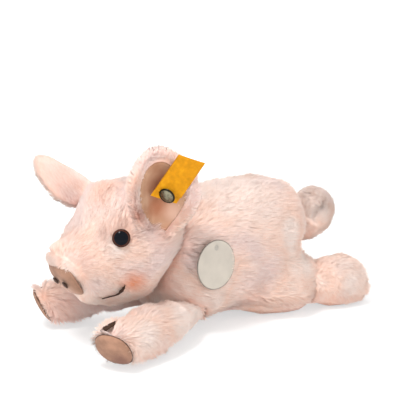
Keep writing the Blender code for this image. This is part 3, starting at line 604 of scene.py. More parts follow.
def outer_form(*names, core=None):
    """The outer form of some CAD nodes, with a ball at their core, as one closed mesh of even quads."""
    bm = bmesh.new()
    if core:
        middle, radius, wide = core
        bmesh.ops.create_icosphere(bm, subdivisions=3, radius=radius,
                                  matrix=Matrix.Translation(middle) @ Matrix.Diagonal((wide, 1, 1, 1)))
    for name in names:
        bm.from_mesh(frame["nodes"][name].data)
    bmesh.ops.remove_doubles(bm, verts=bm.verts, dist=0.001 * MM)
    item = bpy.data.objects.new("form", finished(bm, "form"))
    bpy.context.collection.objects.link(item)
    remesh = item.modifiers.new("remesh", "REMESH")
    remesh.mode = "VOXEL"
    remesh.voxel_size = VOXEL
    mesh = evaluated(item)
    bm = bmesh.new()
    bm.from_mesh(mesh)
    keep_largest_island(bm)
    bm.to_mesh(mesh)
    bm.free()
    return mesh


def keep_largest_island(bm):
    """Drops closed inner islands that a remesh leaves in a solid's hollows."""
    left = set(bm.verts)
    islands = []
    while left:
        seed = left.pop()
        island, edge = [seed], [seed]
        while edge:
            step = []
            for vert in edge:
                for link in vert.link_edges:
                    other = link.other_vert(vert)
                    if other in left:
                        left.remove(other)
                        step.append(other)
            island += step
            edge = step
        islands.append(island)
    islands.sort(key=len)
    for island in islands[:-1]:
        bmesh.ops.delete(bm, geom=island, context="VERTS")


def relaxed(mesh, rounds):
    """Moves each vertex towards the mean of its neighbours."""
    places, _, _ = mesh_arrays(mesh)
    edges = np.empty(len(mesh.edges) * 2, dtype=np.int64)
    mesh.edges.foreach_get("vertices", edges)
    edges = edges.reshape(-1, 2)
    degree = np.bincount(edges.ravel(), minlength=len(places))[:, None]
    for _ in range(rounds):
        total = np.zeros_like(places)
        np.add.at(total, edges[:, 0], places[edges[:, 1]])
        np.add.at(total, edges[:, 1], places[edges[:, 0]])
        places += (total / np.maximum(degree, 1) - places) * 0.5
    move_vertices(mesh, places)


def move_vertices(mesh, places):
    mesh.vertices.foreach_set("co", np.ascontiguousarray(places, dtype=np.float32).ravel())
    mesh.update()


def smooth_step(low, high, value):
    t = np.clip((value - low) / (high - low), 0, 1)
    return t * t * (3 - 2 * t)


def distance_to(points, targets):
    """Distance from each point to the nearest of some target points."""
    best = np.full(len(points), np.inf)
    for start in range(0, len(targets), 64):
        some = targets[start:start + 64]
        gap = np.linalg.norm(points[:, None, :] - some[None, :, :], axis=2).min(axis=1)
        best = np.minimum(best, gap)
    return best


def closed_mesh(name, layers):
    """A mesh closed over rings of points, with a fan at each end."""
    bm = bmesh.new()
    rings = [[bm.verts.new(point) for point in ring] for ring in layers]
    count = len(rings[0])
    walls(bm, rings)
    for ring in (rings[0], rings[-1]):
        middle = bm.verts.new(sum((vert.co for vert in ring), Vector()) / count)
        for k in range(count):
            bm.faces.new((ring[k], ring[(k + 1) % count], middle))
    turned_out(bm)
    return finished(bm, name)


class Waves:
    """Smooth vector noise made of sines, the same on each run."""

    def __init__(self, seed, size):
        count = 14
        source = np.random.default_rng(seed)
        ways = source.normal(size=(count, 3))
        ways /= np.linalg.norm(ways, axis=1)[:, None]
        self.ways = ways * (math.tau / (size * source.uniform(0.6, 1.6, count)))[:, None]
        self.shift = source.uniform(0, math.tau, (3, count))
        self.level = math.sqrt(2 / count)

    def __call__(self, points):
        phase = points @ self.ways.T
        return np.stack([np.sin(phase + shift).sum(axis=1) for shift in self.shift], axis=1) * self.level


BROAD_WAVES = Waves(1, 26 * MM)
TUFT_WAVES = Waves(2, 7 * MM)
FINE_WAVES = Waves(3, 3 * MM)


def in_order(bm):
    """The same form, its vertices and faces sorted: Blender's own order after a cut or an extrusion varies by run."""
    verts = sorted(bm.verts, key=lambda vert: vert.co[:])
    rank = {vert: index for index, vert in enumerate(verts)}
    ordered = bmesh.new()
    made = [ordered.verts.new(vert.co) for vert in verts]
    for face in sorted(bm.faces, key=lambda face: sorted(rank[vert] for vert in face.verts)):
        ordered.faces.new([made[rank[vert]] for vert in face.verts])
    bm.free()
    return ordered


def carried_in(mesh, root, ahead, start, end):
    """Cuts a limb off square at a distance from its root and carries its section on into the body."""
    bm = bmesh.new()
    bm.from_mesh(mesh)
    geometry = list(bm.verts) + list(bm.edges) + list(bm.faces)
    bmesh.ops.bisect_plane(bm, geom=geometry, plane_co=root + ahead * start, plane_no=ahead, clear_inner=True)
    rim = [edge for edge in bm.edges if edge.is_boundary]
    steps = math.ceil((start - end) / VOXEL)
    for _ in range(steps):
        made = bmesh.ops.extrude_edge_only(bm, edges=rim)["geom"]
        verts = sorted((item for item in made if isinstance(item, bmesh.types.BMVert)), key=lambda vert: vert.co[:])
        rim = [item for item in made if isinstance(item, bmesh.types.BMEdge)
               and all(vert in verts for vert in item.verts)]
        bmesh.ops.translate(bm, verts=verts, vec=ahead * (end - start) / steps)
        middle = sum((vert.co for vert in verts), Vector()) / len(verts)
        shrink = ROOT_TAPER ** (1 / steps)
        for vert in verts:
            vert.co = middle + (vert.co - middle) * shrink
    bmesh.ops.edgeloop_fill(bm, edges=rim)
    bmesh.ops.triangulate(bm, faces=[face for face in bm.faces if len(face.verts) > 4])
    turned_out(bm)
    bm = in_order(bm)
    bm.to_mesh(mesh)
    bm.free()


class Skin:
    """The backing cloth of one stuffed piece, and the height of the pile that stands on it."""

    def __init__(self, name, mesh):
        self.name, self.mesh = name, mesh
        self.read()
        self.pile = np.zeros(len(self.places))

    def read(self):
        self.places, self.normals, self.triangles = mesh_arrays(self.mesh)

    def move(self, places):
        """Moves the skin and keeps it above the floor."""
        places[:, 2] = np.maximum(places[:, 2], FLOOR_CLEARANCE)
        move_vertices(self.mesh, places)
        self.read()

    def set_in(self, pile, lumps=0.0):
        """Takes a pile height for each vertex and sets the skin in by it."""
        self.pile = pile
        self.outer = self.tree()
        sink = pile - lumps * BROAD_WAVES(self.places)[:, 0]
        move_vertices(self.mesh, self.places - self.normals * sink[:, None])
        relaxed(self.mesh, 2)
        self.move(mesh_arrays(self.mesh)[0])

    def tree(self):
        return BVHTree.FromPolygons([tuple(place) for place in self.places],
                                    [tuple(int(i) for i in corner) for corner in self.triangles])


def hidden_in(points, tree, limit):
    """True for each point that lies inside a closed skin by more than a limit."""
    hits = ((Vector(point), *tree.find_nearest(Vector(point))[:2]) for point in points)
    return np.array([(point - spot).dot(normal) < -limit for point, spot, normal in hits], dtype=bool)


def unit(vectors):
    return vectors / np.maximum(np.linalg.norm(vectors, axis=1), 1e-12)[:, None]


class Pile:
    """Fibres of one skin: roots spread over it, combed, gathered in tufts and made into meshes."""

    def __init__(self, skin, count, comb, seed, lean=1.05, long=1.25, tuft=1.6 * MM, wild=0.07, own=0.28):
        self.own = own
        source = np.random.default_rng(seed)
        corners = skin.triangles
        a, b, c = (skin.places[corners[:, k]] for k in range(3))
        area = np.linalg.norm(np.cross(b - a, c - a), axis=1) / 2
        weight = area * (skin.pile[corners].mean(axis=1) > FELT_PILE)
        picked = source.choice(len(corners), size=count, p=weight / weight.sum())
        first, second = np.sqrt(source.random(count)), source.random(count)
        shares = np.stack([1 - first, first * (1 - second), first * second], axis=1)

        def spread(values):
            mix = values[corners[picked]]
            return (mix * (shares[:, :, None] if mix.ndim == 3 else shares)).sum(axis=1)

        self.roots = spread(skin.places)
        self.normals = unit(spread(skin.normals))
        self.height = spread(skin.pile)
        self.shade = spread(skin.shade)
        self.chance = source.random(count)
        self.spin = source.uniform(0, math.tau, count)
        way = comb(self.roots, self.normals)
        way = unit(way - self.normals * (way * self.normals).sum(axis=1)[:, None])
        scatter = source.normal(size=(count, 3)) * wild
        drift = BROAD_WAVES(self.roots) * 0.14 + TUFT_WAVES(self.roots) * 0.08 + FINE_WAVES(self.roots) * 0.04
        way = unit(way + drift + scatter)
        lift = np.clip(lean + drift[:, 1] * 0.25 + source.normal(size=count) * 0.06, 0.2, 1.2)
        rise = self.normals * np.cos(lift)[:, None] + way * np.sin(lift)[:, None]
        size = self.height * long / np.cos(lean) * source.uniform(0.84, 1.06, count)
        self.tips = self.roots + unit(rise) * size[:, None]
        self.gather(tuft, TUFT_GATHER)
        self.middles = (self.roots + self.tips) / 2 + self.normals * (size * 0.10)[:, None]

    def gather(self, size, share):
        """Draws the tips of each small cell together."""
        cells = np.floor((self.roots + TUFT_WAVES(self.roots) * size * 0.5) / size).astype(np.int64)
        _, label = np.unique(cells, axis=0, return_inverse=True)
        label = label.ravel()
        count = np.bincount(label)[:, None]
        centre = np.zeros((len(count), 3))
        np.add.at(centre, label, self.tips)
        centre /= count
        pull = share * (0.55 + 0.45 * self.chance)[:, None]
        self.tips += (centre[label] - self.tips) * pull

    def keep(self, mask):
        for key in ("roots", "normals", "height", "shade", "chance", "spin", "tips", "middles"):
            setattr(self, key, getattr(self, key)[mask])

    def press(self, centre, axis, radius, level):
        """Keeps fibres under a flat round piece that lies on the pile."""
        for points in (self.middles, self.tips):
            offset = points - centre
            height = offset @ axis
            away = np.linalg.norm(offset - height[:, None] * axis, axis=1)
            over = (away < radius) & (height > level)
            points[over] -= axis * (height[over] - level)[:, None]

    def level_off(self, centre, way, radius, level):
        """Keeps fibres beside a felt piece from standing out past its face."""
        for points in (self.middles, self.tips):
            offset = points - centre
            height = offset @ way
            over = (np.linalg.norm(offset, axis=1) < radius) & (height > level)
            points[over] -= way * (height - level)[over, None]

    def clear_of(self, spots, gap):
        """Drops fibres that would lie over a line of stitching."""
        over = np.minimum(distance_to(self.tips, spots), distance_to(self.middles, spots)) < gap
        self.keep(~over)

    def part_round(self, centre, radius, soft):
        """Combs fibres aside round an eye and drops those under it."""
        self.keep(np.linalg.norm(self.roots - centre, axis=1) > radius)
        for points in (self.middles, self.tips):
            offset = points - centre
            away = np.linalg.norm(offset, axis=1)
            push = np.clip(radius + soft - away, 0, None)
            points += offset / away[:, None] * push[:, None]

    def build(self, name, made):
        """One mesh of closed, tapering three-sided fibres, each of two bent lengths."""
        for points in (self.roots, self.middles, self.tips):
            points[:, 2] = np.maximum(points[:, 2], FLOOR_CLEARANCE)
        count = len(self.roots)
        way = unit(self.tips - self.roots)
        side = unit(np.cross(way, self.normals + 1e-4))
        other = np.cross(way, side)
        half = FIBRE_WIDTH * (0.75 + 0.5 * self.chance)[:, None] / 2
        places = np.empty((count, 7, 3))
        for corner in range(3):
            turn = self.spin + math.tau * corner / 3
            out = side * np.cos(turn)[:, None] + other * np.sin(turn)[:, None]
            places[:, corner] = self.roots + out * half
            places[:, 3 + corner] = self.middles + out * half * 0.8
        places[:, 6] = self.tips
        places[:, :, 2] = np.maximum(places[:, :, 2], FLOOR_CLEARANCE)
        pattern = np.array([2, 1, 0, 0, 1, 4, 3, 1, 2, 5, 4, 2, 0, 3, 5, 3, 4, 6, 4, 5, 6, 5, 3, 6])
        sizes = np.array([3, 4, 4, 4, 3, 3, 3])
        corners = (pattern[None, :] + (np.arange(count) * 7)[:, None]).ravel()
        starts = np.concatenate([[0], np.cumsum(np.tile(sizes, count))[:-1]])
        mesh = bpy.data.meshes.new(name)
        mesh.vertices.add(count * 7)
        mesh.vertices.foreach_set("co", places.astype(np.float32).ravel())
        mesh.loops.add(len(corners))
        mesh.loops.foreach_set("vertex_index", corners.astype(np.int32))
        mesh.polygons.add(len(starts))
        mesh.polygons.foreach_set("loop_start", starts.astype(np.int32))
        mesh.update(calc_edges=True)
        mesh.shade_smooth()
        fibre = np.zeros((count, 7, 4), dtype=np.float32)
        fibre[:, 3:6, 0] = 0.5
        fibre[:, 6, 0] = 1.0
        fibre[:, :, 1] = self.chance[:, None]
        fibre[:, :, 2] = self.shade[:, None]
        fibre[:, :, 3] = 1.0
        layer = mesh.color_attributes.new("fibre", "FLOAT_COLOR", "POINT")
        layer.data.foreach_set("color", fibre.ravel())
        self.bake_map(mesh, count, corners)
        own = unit((places - np.stack([self.roots, self.roots, self.roots, self.middles, self.middles,
                                       self.middles, self.tips - way * half], axis=1)).reshape(-1, 3))
        base = np.repeat(self.normals, 7, axis=0)
        mesh.normals_split_custom_set_from_vertices(unit(base + own * self.own).tolist())
        return add_object(name, mesh, made)

    @staticmethod
    def bake_map(mesh, count, corners):
        """Each fibre has its own small cell of the texture, from root to tip."""
        grid = math.ceil(math.sqrt(count))
        cell = 1 / grid
        spots = np.array([(0.2, 0.15), (0.5, 0.15), (0.8, 0.15), (0.3, 0.5), (0.5, 0.5), (0.7, 0.5), (0.5, 0.85)])
        order = np.arange(count)
        base = np.stack([order % grid, order // grid], axis=1) * cell
        every = (base[:, None, :] + spots[None, :, :] * cell).reshape(-1, 2)
        layer = mesh.uv_layers.new(name="OFBake")
        layer.data.foreach_set("uv", every[corners].astype(np.float32).ravel())


def shown(name, source, made, body, sink=0.0, crown=0.0):
    """Takes a CAD node's place: its facets smoothed, its rim set back by a sink, its middle raised by a crown."""
    mesh = frame["nodes"][source].data.copy()
    item = add_object(name, mesh, made)
    bm = bmesh.new()
    bm.from_mesh(mesh)
    bmesh.ops.remove_doubles(bm, verts=bm.verts, dist=0.001 * MM)
    bmesh.ops.join_triangles(bm, faces=bm.faces, angle_face_threshold=math.radians(60),
                             angle_shape_threshold=math.radians(60))
    bm.to_mesh(mesh)
    bm.free()
    smooth = item.modifiers.new("smooth", "SUBSURF")
    smooth.levels = smooth.render_levels = 2
    mesh = evaluated(item)
    if sink:
        places, _, _ = mesh_arrays(mesh)
        centre, way = felt_frame(source)
        away = np.linalg.norm(places - centre, axis=1)
        share = away / away.max()
        move_vertices(mesh, places + way * (crown * (1 - share ** 4) - sink * share ** 3)[:, None])
    mesh.shade_smooth()
    return seated(add_object(name, mesh, made), body, source)


def seated(item, body, *sources):
    """The item moves with a body and takes the place of some CAD nodes."""
    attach(item, body)
    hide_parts(*sources)
    return item


def felt_frame(name):
    """Centre and outward facing of a felt disc or pad."""
    centre, way = node_frame(name)
    low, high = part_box("torso_skin")
    outward = centre - np.array((low + high) / 2)
    return centre, way * math.copysign(1, way @ outward)


def node_frame(name):
    """Centre and facing of a thin CAD piece, from the spread of its vertices."""
    places = cad_vertices(name)
    centre = (places.min(axis=0) + places.max(axis=0)) / 2
    _, _, ways = np.linalg.svd(places - places.mean(axis=0), full_matrices=False)
    return centre, ways[2]


def lathe(name, profile, centre, axis, made, sides=64, ring=None):
    """Turns a profile of (radius, height) points round an axis."""
    bm = bmesh.new()
    layer = bm.verts.layers.float.new(ring) if ring else None
    widest = max(radius for radius, _ in profile)
    loops = []
    for radius, height in profile:
        count = 1 if radius == 0 else sides
        loop = [bm.verts.new((radius * math.cos(math.tau * k / sides), radius * math.sin(math.tau * k / sides), height))
                for k in range(count)]
        if layer:
            for vert in loop:
                vert[layer] = radius / widest
        loops.append(loop)
    for low, high in zip(loops, loops[1:]):
        for k in range(sides):
            corners = [low[k % len(low)], low[(k + 1) % len(low)], high[(k + 1) % len(high)], high[k % len(high)]]
            bm.faces.new(list(dict.fromkeys(corners)))
    turn = Vector(axis).to_track_quat("Z", "Y").to_matrix().to_4x4()
    bmesh.ops.transform(bm, matrix=Matrix.Translation(centre) @ turn, verts=bm.verts)
    bmesh.ops.recalc_face_normals(bm, faces=bm.faces)
    return add_object(name, finished(bm, name, 40), made)


# The pig

THREAD = spun("brown_thread", 0.35 * MM, ((0.35, scaled(BROWN, 0.6)), (0.7, scaled(BROWN, 2.2))),
              Roughness=0.7, Sheen_Weight=0.04, Specular_IOR_Level=0.2)
EYE = eye_material()
RIBBON = ribbon_material()
CARD_STOCK = card_material()
METAL = metal_material()
CORD = spun("clear_thread", 0.4 * MM, ((0.3, (0.30, 0.27, 0.23)), (0.7, (0.48, 0.44, 0.40))), Roughness=0.45)

LEGS = ("front_left", "front_right", "hind_left", "hind_right")
JOINTS = {joint["child"]: joint for joint in frame["joints"]}
SNOUT_CENTRE, SNOUT_WAY = felt_frame("snout_disc")
SNOUT_RIM = cad_vertices("snout_disc")
SNOUT_RADIUS = np.linalg.norm(SNOUT_RIM - SNOUT_CENTRE, axis=1).max()
FELT_CLOTH = felt_material()


def eye_frame(word):
    """Middle of an eye's rim, its facing, taken from the eye and the washer behind it."""
    back, way = node_frame("eye_washer_" + word)
    places = cad_vertices("eye_" + word)
    way = way * math.copysign(1, (places.mean(axis=0) - back) @ way)
    top = ((places - back) @ way).max()
    return back + way * (top - EYE_DOME - EYE_SUNK[word]), way


EYES = {word: eye_frame(word) for word in ("left", "right")}


def pile_near(height, start, zone, gap):
    """Pile height that runs out to nothing under a felt piece."""
    return FELT_PILE + (height - FELT_PILE) * smooth_step(start, zone, gap)


def in_plane(way):
    """Sideways and upward directions of a face that looks along a way."""
    side = unit(np.cross(way, UP)[None])[0]
    return side, np.cross(side, way)


def pixel_ray(pixel):
    """The camera's ray through a place in the photograph's 400 x 400 frame."""
    x, y = (pixel[0] - 200) / 400 * 36 / CAMERA_LENS, (200 - pixel[1]) / 400 * 36 / CAMERA_LENS
    return CAMERA_PLACE, (CAMERA_RIGHT * x + CAMERA_UP * y - CAMERA_BACK).normalized()


def beside_ray(forms, pixel, step):
    """The place of some forms that lies nearest to the camera's ray, and its normal."""
    origin, way = pixel_ray(pixel)
    return min((tree.find_nearest(origin + way * reach) for tree in forms for reach in np.arange(0.60, 0.95, step)),
               key=lambda hit: hit[3])


def drawn_on(tree, pixel):
    """Place and normal of a form where the camera sees it at a pixel, or nearest to a ray that just misses it."""
    spot, normal, _, _ = tree.ray_cast(*pixel_ray(pixel))
    if spot is None:
        spot, normal, _, _ = beside_ray([tree], pixel, 0.001)
    return spot, normal


def plush(name, mesh, rounds, hollows, swell=0.0):
    """A skin with its facets worn off and soft hollows pressed into it, on both sides alike."""
    relaxed(mesh, rounds)
    skin = Skin(name, mesh)
    if swell:
        skin.move(skin.places + skin.normals * swell)
    tree, places = skin.tree(), skin.places.copy()
    for pixel, radius, depth in hollows:
        spot, _ = drawn_on(tree, pixel)
        for side in (1, -1):
            away = np.linalg.norm(places - np.array((spot.x * side, spot.y, spot.z)), axis=1)
            places -= skin.normals * (depth * MM * np.exp(-(away / (radius * MM)) ** 2))[:, None]
    skin.move(places)
    return skin


def make_torso():
    skin = plush("plush_torso", outer_form("torso_skin", "torso_filling"), FACET_ROUNDS, TORSO_HOLLOWS)
    low = 1 - smooth_step(*BELLY_TUCK_SPAN, skin.places[:, 2])
    side = np.abs(skin.normals[:, 0]) * (np.abs(skin.places[:, 1]) < BELLY_TUCK_REACH)
    skin.move(skin.places - skin.normals * (BELLY_TUCK * low * side)[:, None])
    y, z = skin.places[:, 1], skin.places[:, 2]
    middle, reach = BELLY_LIFT_PLACE
    lift = (1 - smooth_step(*BELLY_LIFT_SPAN, z)) * np.exp(-((y - middle) / reach) ** 2)
    skin.move(skin.places + UP * (BELLY_LIFT * lift)[:, None])
    y, z = skin.places[:, 1], skin.places[:, 2]
    drop = (smooth_step(*HAUNCH_DROP_START, y) * smooth_step(*HAUNCH_DROP_LOW, z)
            * (1 - smooth_step(*HAUNCH_DROP_HIGH, z)))
    skin.move(skin.places - UP * (HAUNCH_DROP * drop)[:, None])
    down = smooth_step(*FACING_DOWN, skin.normals[:, 2])
    skin.set_in(BODY_PILE * (1 - 0.72 * down * (skin.places[:, 2] < 8 * MM)), lumps=0.25 * MM)
    return skin


def make_head():
    skin = plush("plush_head", outer_form("head_skin", "head_filling"), FACET_ROUNDS, HEAD_HOLLOWS)
    gap = distance_to(skin.places, cad_vertices("snout_disc"))
    pile = SNOUT_PILE + (FACE_PILE - SNOUT_PILE) * smooth_step(2 * MM, 20 * MM, gap)
    pile += (BODY_PILE - FACE_PILE) * smooth_step(35 * MM, 60 * MM, gap)
    pile = pile_near(pile, 0.6 * MM, 2.0 * MM, gap)
    for centre, _ in EYES.values():
        away = np.linalg.norm(skin.places - centre, axis=1)
        pile *= 0.85 + 0.15 * smooth_step(5 * MM, EYE_ZONE, away)
    skin.set_in(pile, lumps=0.2 * MM)
    return skin


def leg_line(word):
    """Root and direction of a leg, from its joint to the middle of its sole."""
    low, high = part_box("sole_pad_" + word)
    sole = (low + high) / 2
    root = Vector(JOINTS["leg_" + word]["pos_m"])
    root.z = sole.z
    return root, (sole - root).normalized()


def make_leg(word):
    root, ahead = leg_line(word)
    start = LEG_START[word.split("_")[0]]
    mesh = outer_form("leg_skin_" + word, "leg_filling_" + word)
    carried_in(mesh, root, ahead, start, LEG_ROOT)
    skin = plush("plush_leg_" + word, mesh, FACET_ROUNDS, LEG_HOLLOWS[word])
    along = (skin.places - np.array(root)) @ np.array(ahead)
    if "front" in word:
        share = (1 - smooth_step(*LEG_LIFT_SPAN, along)) * np.clip(1 - skin.places[:, 2] / LEG_LIFT_TOP, 0, 1)
        skin.move(skin.places + UP * (share * LEG_LIFT[word[6:]])[:, None])
    gap = distance_to(skin.places, cad_vertices("sole_pad_" + word))
    pile = pile_near(LEG_PILE, 1.2 * MM, FELT_ZONE, gap)
    pile *= 0.45 + 0.55 * smooth_step(start - 3 * MM, start + 9 * MM, along)
    down = smooth_step(*FACING_DOWN, skin.normals[:, 2])
    skin.set_in(pile * (1 - 0.7 * down * (skin.places[:, 2] < 6 * MM)), lumps=0.2 * MM)
    return skin


def make_tail():
    mesh = outer_form("tail", core=TAIL_CORE)
    carried_in(mesh, Vector(JOINTS["tail"]["pos_m"]), Vector((0, 1, 0)), TAIL_START, TAIL_ROOT)
    skin = plush("plush_tail", mesh, TAIL_ROUNDS, TAIL_HOLLOWS, TAIL_SWELL)
    skin.set_in(np.full(len(skin.places), TAIL_PILE))
    return skin


class Ear:
    """An ear in its own axes: across, towards the tip, and out of its lining."""

    def __init__(self, word, tip_way, facing):
        self.word = word
        self.base = Vector(JOINTS["ear_" + word]["pos_m"])
        tip = Vector(tip_way).normalized()
        facing = Vector(facing)
        facing = (facing - tip * facing.dot(tip)).normalized()
        self.tip_way, self.facing, self.across = tip, facing, tip.cross(facing)

    def sheet(self, share, across, height):
        """A point of the ear: a share of its length, a share of its half width, a height off its middle."""
        end = max(1 - abs(2 * share - 1) ** EAR_BLUNT, 0) ** (1 / EAR_BLUNT)
        half = EAR_HALF_WIDTH * float(np.interp(share, *EAR_WIDTHS[self.word])) * end
        out = half * across
        cup = EAR_CUP + EAR_PINCH * (1 - share) ** 2
        slope = 2 * cup * out / EAR_HALF_WIDTH ** 2
        lean = math.hypot(1, slope)
        run = 1 - share
        along = run * run * -EAR_ROOT_DEPTH + 2 * run * share * EAR_LENGTH / 2 + share * share * EAR_LENGTH
        bow = 2 * run * share * -EAR_BOW
        u = out - height * slope / lean
        w = cup * (out / EAR_HALF_WIDTH) ** 2 + bow + height / lean
        return self.base + self.across * u + self.tip_way * along + self.facing * w

    @staticmethod
    def thick(share, across):
        """Half the ear's thickness: thin in the middle, a fuller roll round its edge."""
        end = max(1 - abs(2 * share - 1) ** 4, 0) ** 0.5
        roll = float(smooth_step(0.45, 0.9, np.maximum(abs(across), abs(2 * share - 1))))
        body = EAR_SHEET + (EAR_ROLL - EAR_SHEET) * roll
        return body * max(1 - abs(across) ** 2.6, 0) ** (1 / 2.6) * end

    def skin(self):
        layers = []
        for ring in range(1, 48):
            share = (1 - math.cos(math.pi * ring / 48)) / 2
            loop = []
            for k in range(56):
                turn = math.tau * k / 56
                across = math.copysign(abs(math.cos(turn)) ** (2 / 2.3), math.cos(turn))
                height = self.thick(share, across) * math.copysign(1, math.sin(turn))
                loop.append(self.sheet(share, across, height))
            layers.append(loop)
        mesh = closed_mesh("plush_ear_" + self.word, layers)
        skin = Skin(mesh.name, mesh)
        gap = distance_to(skin.places, self.patch())
        skin.pile = pile_near(EAR_PILE, 0.8 * MM, 3 * MM, gap)
        relaxed(mesh, 3)
        skin.read()
        return skin

    def patch_point(self, ring, turn, height):
        share = LINING_MIDDLE + LINING_SHARES[0] * ring * math.cos(turn)
        across = LINING_SHARES[1] * ring * math.copysign(abs(math.sin(turn)) ** 0.7, math.sin(turn))
        return self.sheet(share, across, self.thick(share, across) + height)

    def patch(self):
        """Points over the place of the lining."""
        return np.array([self.patch_point(ring / 10, math.tau * k / 40, 0.2 * MM)
                         for ring in range(11) for k in range(40)])

    def lining(self):
        layers = []
        for height, rings in ((0.0, range(1, 16)), (LINING_RISE, range(15, 0, -1))):
            for ring in rings:
                edge = (ring / 15) ** 8
                layers.append([self.patch_point(ring / 15, math.tau * k / 64, height * (1 - 0.6 * edge))
                               for k in range(64)])
        mesh = closed_mesh("velour_lining_" + self.word, layers)
        mesh.shade_smooth()
        return add_object(mesh.name, mesh, VELOUR_CLOTH)

    def comb(self, points, normals):
        """Towards the tip, out to the edge and over it."""
        offset = points - np.array(self.base)
        side = offset @ np.array(self.across)
        return (np.array(self.tip_way) * 0.6 - np.array(self.facing) * 0.6
                + np.array(self.across) * (side / EAR_HALF_WIDTH)[:, None] * 0.8)


def back_comb(points, normals):
    """Rearwards along the body, drooping a little down its sides."""
    droop = np.abs(normals[:, :1]) * np.array([0.0, 0.0, -0.22])
    return np.array([0.0, 1.0, 0.10]) + droop


def head_comb(points, normals):
    """Away from the snout, parting round the eyes."""
    comb = unit(points - SNOUT_CENTRE) + np.array([0.0, 0.35, 0.0])
    for centre, _ in EYES.values():
        offset = points - centre
        gap = np.linalg.norm(offset, axis=1)
        comb += offset / gap[:, None] * (1.6 * np.exp(-np.maximum(gap - 5 * MM, 0) / (4 * MM)))[:, None]
    rim = 1 - smooth_step(1.5 * MM, 6.0 * MM, distance_to(points, SNOUT_RIM))
    return comb + (SNOUT_WAY * 2.4 + unit(SNOUT_CENTRE - points) * 0.4) * rim[:, None]


def tail_comb(points, normals):
    """Round the curl, from its root to its tip."""
    _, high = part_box("tail")
    middle = np.array([0.0, high.y - 18 * MM, high.z - 18 * MM])
    offset = (points - middle) * np.array([0.0, 1.0, 1.0])
    return np.cross(np.array([1.0, 0.0, 0.0]), unit(offset)) + np.array([0.0, 0.3, 0.0])


def leg_comb(word, ahead):
    """Down the sides of a leg, back towards the body on a front one, but forward round the rim of the sole."""
    sole = cad_vertices("sole_pad_" + word)
    centre, way = felt_frame("sole_pad_" + word)

    def comb(points, normals):
        rim = 1 - smooth_step(1.5 * MM, 6.0 * MM, distance_to(points, sole))[:, None]
        out = unit((points - centre) - ((points - centre) @ way)[:, None] * way)
        back = (0.3 + 0.5 * np.clip(normals[:, 2:], 0, 1)) * (1 if "front" in word else -1)
        return (np.array(ahead) * (1.6 * rim - back * (1 - rim)) + out * 1.1 * rim
                + np.array([0.0, 0.0, -0.55]) * (1 - rim))
    return comb


EARS = {"left": Ear("left", (0.10, -0.12, 0.98), (0.93, -0.26, -0.03)),
        "right": Ear("right", (-0.84, -0.40, 0.38), (-0.35, -0.45, -0.80))}
skins = {"torso": make_torso(), "head": make_head(), "tail": make_tail()}
skins.update({"leg_" + word: make_leg(word) for word in LEGS})
skins.update({"ear_" + word: ear.skin() for word, ear in EARS.items()})
trees = {key: skin.tree() for key, skin in skins.items()}


def shut_in():
    """Marks each skin by how far nearby plush, or the floor, shuts it in: 0 in the open, 1 in a fold; the plush colour
    takes this as painted shade.
    """
    first = np.cumsum([0] + [len(skin.places) for skin in skins.values()])
    corners = np.concatenate([skin.triangles + start for skin, start in zip(skins.values(), first)])
    every = BVHTree.FromPolygons(np.concatenate([skin.places for skin in skins.values()]).tolist(), corners.tolist())
    for skin in skins.values():
        origins = skin.places + skin.normals * (skin.pile + 0.5 * MM)[:, None]
        side = unit(np.cross(skin.normals, np.array([0.31, 0.52, 0.80])))
        other = np.cross(skin.normals, side)
        total = np.zeros(len(origins))
        for ray in range(SHADE_RAYS):
            rise, turn = math.sqrt(1 - (ray + 0.5) / SHADE_RAYS), ray * GOLDEN_TURN
            flat = (side * math.cos(turn) + other * math.sin(turn)) * math.sqrt(1 - rise ** 2)
            ways = skin.normals * rise + flat
            gaps = np.array([every.ray_cast(origin, way, SHADE_REACH)[3] or SHADE_REACH
                             for origin, way in zip(origins.tolist(), ways.tolist())])
            floor_gap = np.where(ways[:, 2] < -0.02, origins[:, 2] / np.maximum(-ways[:, 2], 0.02), SHADE_REACH)
            total += np.maximum(1 - gaps / SHADE_REACH, 0.6 * (1 - np.minimum(floor_gap / SHADE_REACH, 1)))
        skin.shade = np.clip(total / SHADE_RAYS * SHADE_GAIN - SHADE_OFF, 0, 1)
        if skin is skins["tail"]:
            skin.shade = skin.shade * TAIL_SHADE
        for _ in range(3):
            mean = skin.shade[skin.triangles].mean(axis=1)
            count = np.bincount(skin.triangles.ravel(), minlength=len(skin.shade))
            total = np.zeros(len(skin.shade))
            for corner in range(3):
                np.add.at(total, skin.triangles[:, corner], mean)
            skin.shade = total / np.maximum(count, 1)
        colours = np.ones((len(skin.shade), 4), dtype=np.float32)
        colours[:, 0], colours[:, 1], colours[:, 2] = 0.0, 0.5, skin.shade
        skin.mesh.color_attributes.new("fibre", "FLOAT_COLOR", "POINT").data.foreach_set("color", colours.ravel())


shut_in()


def seen_at(pixel):
    """Place and normal where the camera first meets one of the skins at a pixel."""
    hits = [hit for hit in (tree.ray_cast(*pixel_ray(pixel)) for tree in trees.values()) if hit[0]]
    spot, normal, _, _ = min(hits or [beside_ray(trees.values(), pixel, 0.002)], key=lambda hit: hit[3])
    return spot, normal


def smooth_line(points, steps=6):
    """Points on a smooth curve through some points."""
    padded = [points[0] * 2 - points[1]] + list(points) + [points[-1] * 2 - points[-2]]
    line = []
    for a, b, c, d in zip(padded, padded[1:], padded[2:], padded[3:]):
        for t in np.arange(steps) / steps:
            line.append((b * 2 + (c - a) * t + (a * 2 - b * 5 + c * 4 - d) * t * t
                         + (b * 3 - a - c * 3 + d) * t ** 3) / 2)
    return line + [points[-1]]


